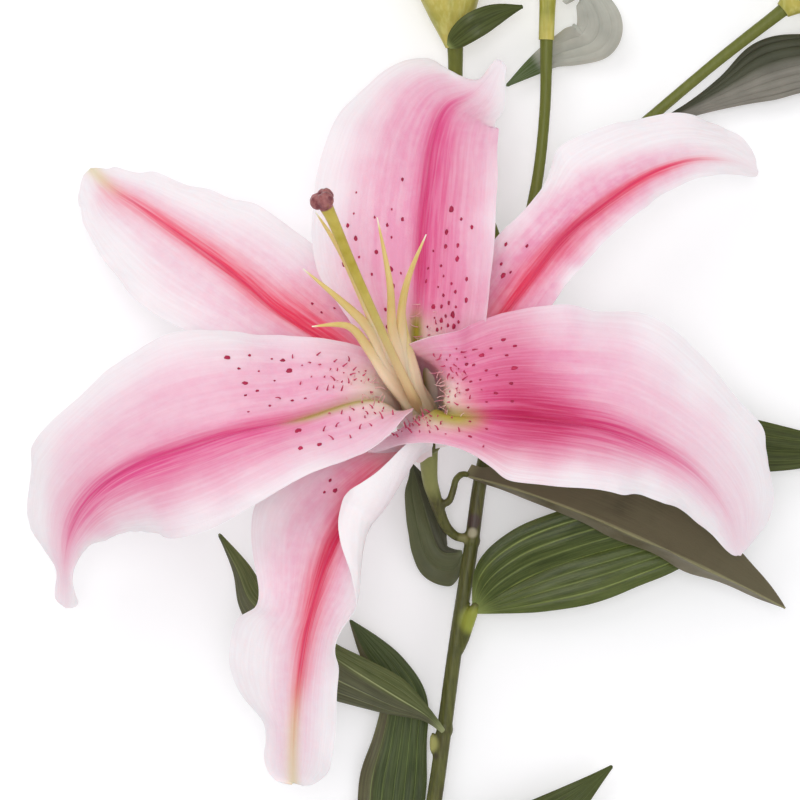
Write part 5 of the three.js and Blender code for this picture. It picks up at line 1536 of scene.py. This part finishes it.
def leaf_relief(form, sizes, veins, vein, share, reach, rib, uv):
    """How far a leaf's face stands out: sunk veins, arched strips and a waved margin."""
    along, seed = uv[..., 1] * UV_UNIT, form["seed"]
    broad = np.clip(reach / 8, 0.1, 1)
    height = -0.1 * vein * broad
    for low, high in zip(veins, [*veins[1:], 1.0]):
        inside = np.clip((share - low) / (high - low), 0, 1)
        height += 0.5 * sizes.get("relief", 1) * (high - low) * broad * np.sin(math.pi * inside)
    height += 0.6 * share**2 * uneven(along / 16, np.sign(rib) * 2, seed) * broad
    height += 0.35 * uneven(along / 20, rib / 10, seed + 9) * broad
    return height


class LILY_OT_leaves(LilyOperator, bpy.types.Operator):
    """Makes the leaves and the bracts, with their parallel veins"""

    bl_idname = "lily.leaves"
    bl_label = "Leaves"

    def execute(self, context):
        plant = context.scene.lily_plant
        skins = {name: leaf_skin(name) for name in LEAF_SKINS}
        t = np.linspace(0, 1, LEAF_ROWS)
        thick = plant.leaf_thickness / MM
        for name, sizes in LEAVES.items():
            veins = sizes.get("veins", PLAIN_VEINS)
            s = leaf_columns(veins)
            form = leaf_form(name)
            middle, reach = blade_surface(form, t, s)
            rib, uv = blade_lie(form, t, s, reach)
            share = np.abs(s)[None, :] + 0 * rib
            vein = vein_mask(share, veins, form["seed"])
            height = leaf_relief(form, sizes, veins, vein, share, reach, rib, uv)
            middle = middle + grid_normals(middle) * height[..., None]
            thickness = LEAF_MARGIN + (thick - LEAF_MARGIN) * (1 - share) ** 0.7
            second = np.zeros_like(share)
            if "second" in sizes:
                where, start, whole = sizes["second"]
                signed = {"plus": s[None, :], "minus": -s[None, :], "tip": t[:, None]}[where]
                second = smooth_step(start, whole, signed) + 0 * share
            base = (1 - smooth_step(0.0, 0.11, t))[:, None] + 0 * share
            masks = {"vein": vein, "base": base, "second": second}
            piece = thin_body(f"lily_{name}", middle, thickness, uv, masks)
            slot = "pale_bract" if name == "bract_pale" else "leaf"
            hand_over(piece, skins[sizes.get("skin", "green")], slot, name)
        return {"FINISHED"}


# In metres: half the floor's width and how low it lies, where the lamps point, and each
# lamp's place, width and share of the light's power.
FLOOR_REACH = 3.0
FLOOR_DROP = 0.0001
LAMP_TARGET = (-0.03, 0.03, 0.03)
LAMPS = (
    ("key", (-0.55, 0.75, 1.1), 0.9, 0.7),
    ("fill", (0.8, -0.35, 0.9), 0.9, 0.3),
    ("front", (-0.05, 0.1, 1.3), 0.5, 0.7),
)
WHITE = (1.0, 1.0, 1.0, 1.0)
# In millimetres: how high the camera is, and how much it takes in at the flower's height.
CAMERA_HEIGHT = 900.0
FLOWER_HEIGHT = 50.0
VIEW_WIDTH = 192.0
SENSOR_WIDTH = 36.0


def look_at(lamp, target):
    """Turns a lamp towards a point."""
    direction = np.array(target) - np.array(lamp.location)
    yaw = math.atan2(direction[0], -direction[1])
    pitch = math.atan2(math.hypot(direction[0], direction[1]), -direction[2])
    lamp.rotation_euler = (pitch, 0, yaw + math.pi)


class LILY_OT_stage(LilyOperator, bpy.types.Operator):
    """Makes the pale floor, the soft light and the camera that looks down"""

    bl_idname = "lily.stage"
    bl_label = "Stage"

    def execute(self, context):
        scene = context.scene
        stage = scene.lily_stage
        floor_mesh = bpy.data.meshes.new("floor")
        signs = ((-1, -1), (1, -1), (1, 1), (-1, 1))
        corners = [(x * FLOOR_REACH, y * FLOOR_REACH, -FLOOR_DROP) for x, y in signs]
        floor_mesh.from_pydata(corners, [], [(0, 1, 2, 3)])
        floor = bpy.data.objects.new("floor", floor_mesh)
        scene.collection.objects.link(floor)
        material, _, shader = new_material("Floor")
        shader.inputs["Base Color"].default_value = tuple(stage.floor)
        shader.inputs["Roughness"].default_value = 0.7
        shader.inputs["Emission Color"].default_value = WHITE
        shader.inputs["Emission Strength"].default_value = stage.glow
        floor_mesh.materials.append(material)
        world = bpy.data.worlds.new("Studio")
        world.use_nodes = True
        background = world.node_tree.nodes["Background"]
        background.inputs["Color"].default_value = WHITE
        background.inputs["Strength"].default_value = stage.sky
        scene.world = world
        for name, place, width, power in LAMPS:
            light = bpy.data.lights.new(name, "AREA")
            light.shape = "DISK"
            light.size = width
            light.energy = stage.key * power
            lamp = bpy.data.objects.new(name, light)
            lamp.location = place
            look_at(lamp, LAMP_TARGET)
            scene.collection.objects.link(lamp)
        scene.view_settings.view_transform = "Standard"
        camera_data = bpy.data.cameras.new("camera")
        camera_data.sensor_width = SENSOR_WIDTH
        camera_data.lens = SENSOR_WIDTH * (CAMERA_HEIGHT - FLOWER_HEIGHT) / VIEW_WIDTH
        camera_data.clip_start = 0.01
        camera = bpy.data.objects.new("camera", camera_data)
        camera.location = (-MIDDLE[0] * MM, -MIDDLE[1] * MM, CAMERA_HEIGHT * MM)
        scene.collection.objects.link(camera)
        scene.camera = camera
        return {"FINISHED"}


class LILY_PT_panel(bpy.types.Panel):
    """Lists the lily's pieces and settings in the sidebar"""

    bl_idname = "LILY_PT_panel"
    bl_label = "Lily"
    bl_space_type = "VIEW_3D"
    bl_region_type = "UI"
    bl_category = "Lily"

    def draw(self, context):
        layout = self.layout
        for setting in SETTINGS:
            group = getattr(context.scene, setting)
            box = layout.box()
            for key in group.bl_rna.properties.keys():
                if key not in ("rna_type", "name"):
                    box.prop(group, key)
        for operator in OPERATORS:
            layout.operator(operator.bl_idname)


SETTINGS = {
    "lily_flower": LilyFlowerSettings,
    "lily_plant": LilyPlantSettings,
    "lily_stage": LilyStageSettings,
}
OPERATORS = (
    LILY_OT_tepals,
    LILY_OT_spots,
    LILY_OT_pistil,
    LILY_OT_filaments,
    LILY_OT_stem,
    LILY_OT_buds,
    LILY_OT_leaves,
    LILY_OT_stage,
)


def register():
    """Adds the settings, the operators and the panel."""
    for kind in (*SETTINGS.values(), *OPERATORS, LILY_PT_panel):
        bpy.utils.register_class(kind)
    for key, kind in SETTINGS.items():
        setattr(bpy.types.Scene, key, bpy.props.PointerProperty(type=kind))


def unregister():
    """Takes away what register added."""
    for key in SETTINGS:
        delattr(bpy.types.Scene, key)
    for kind in reversed((*SETTINGS.values(), *OPERATORS, LILY_PT_panel)):
        bpy.utils.unregister_class(kind)


def main():
    """Makes the whole lily and its stage."""
    register()
    bpy.ops.lily.tepals()
    bpy.ops.lily.spots()
    bpy.ops.lily.pistil()
    bpy.ops.lily.filaments()
    bpy.ops.lily.stem()
    bpy.ops.lily.buds()
    bpy.ops.lily.leaves()
    bpy.ops.lily.stage()


if __name__ == "__main__":
    main()
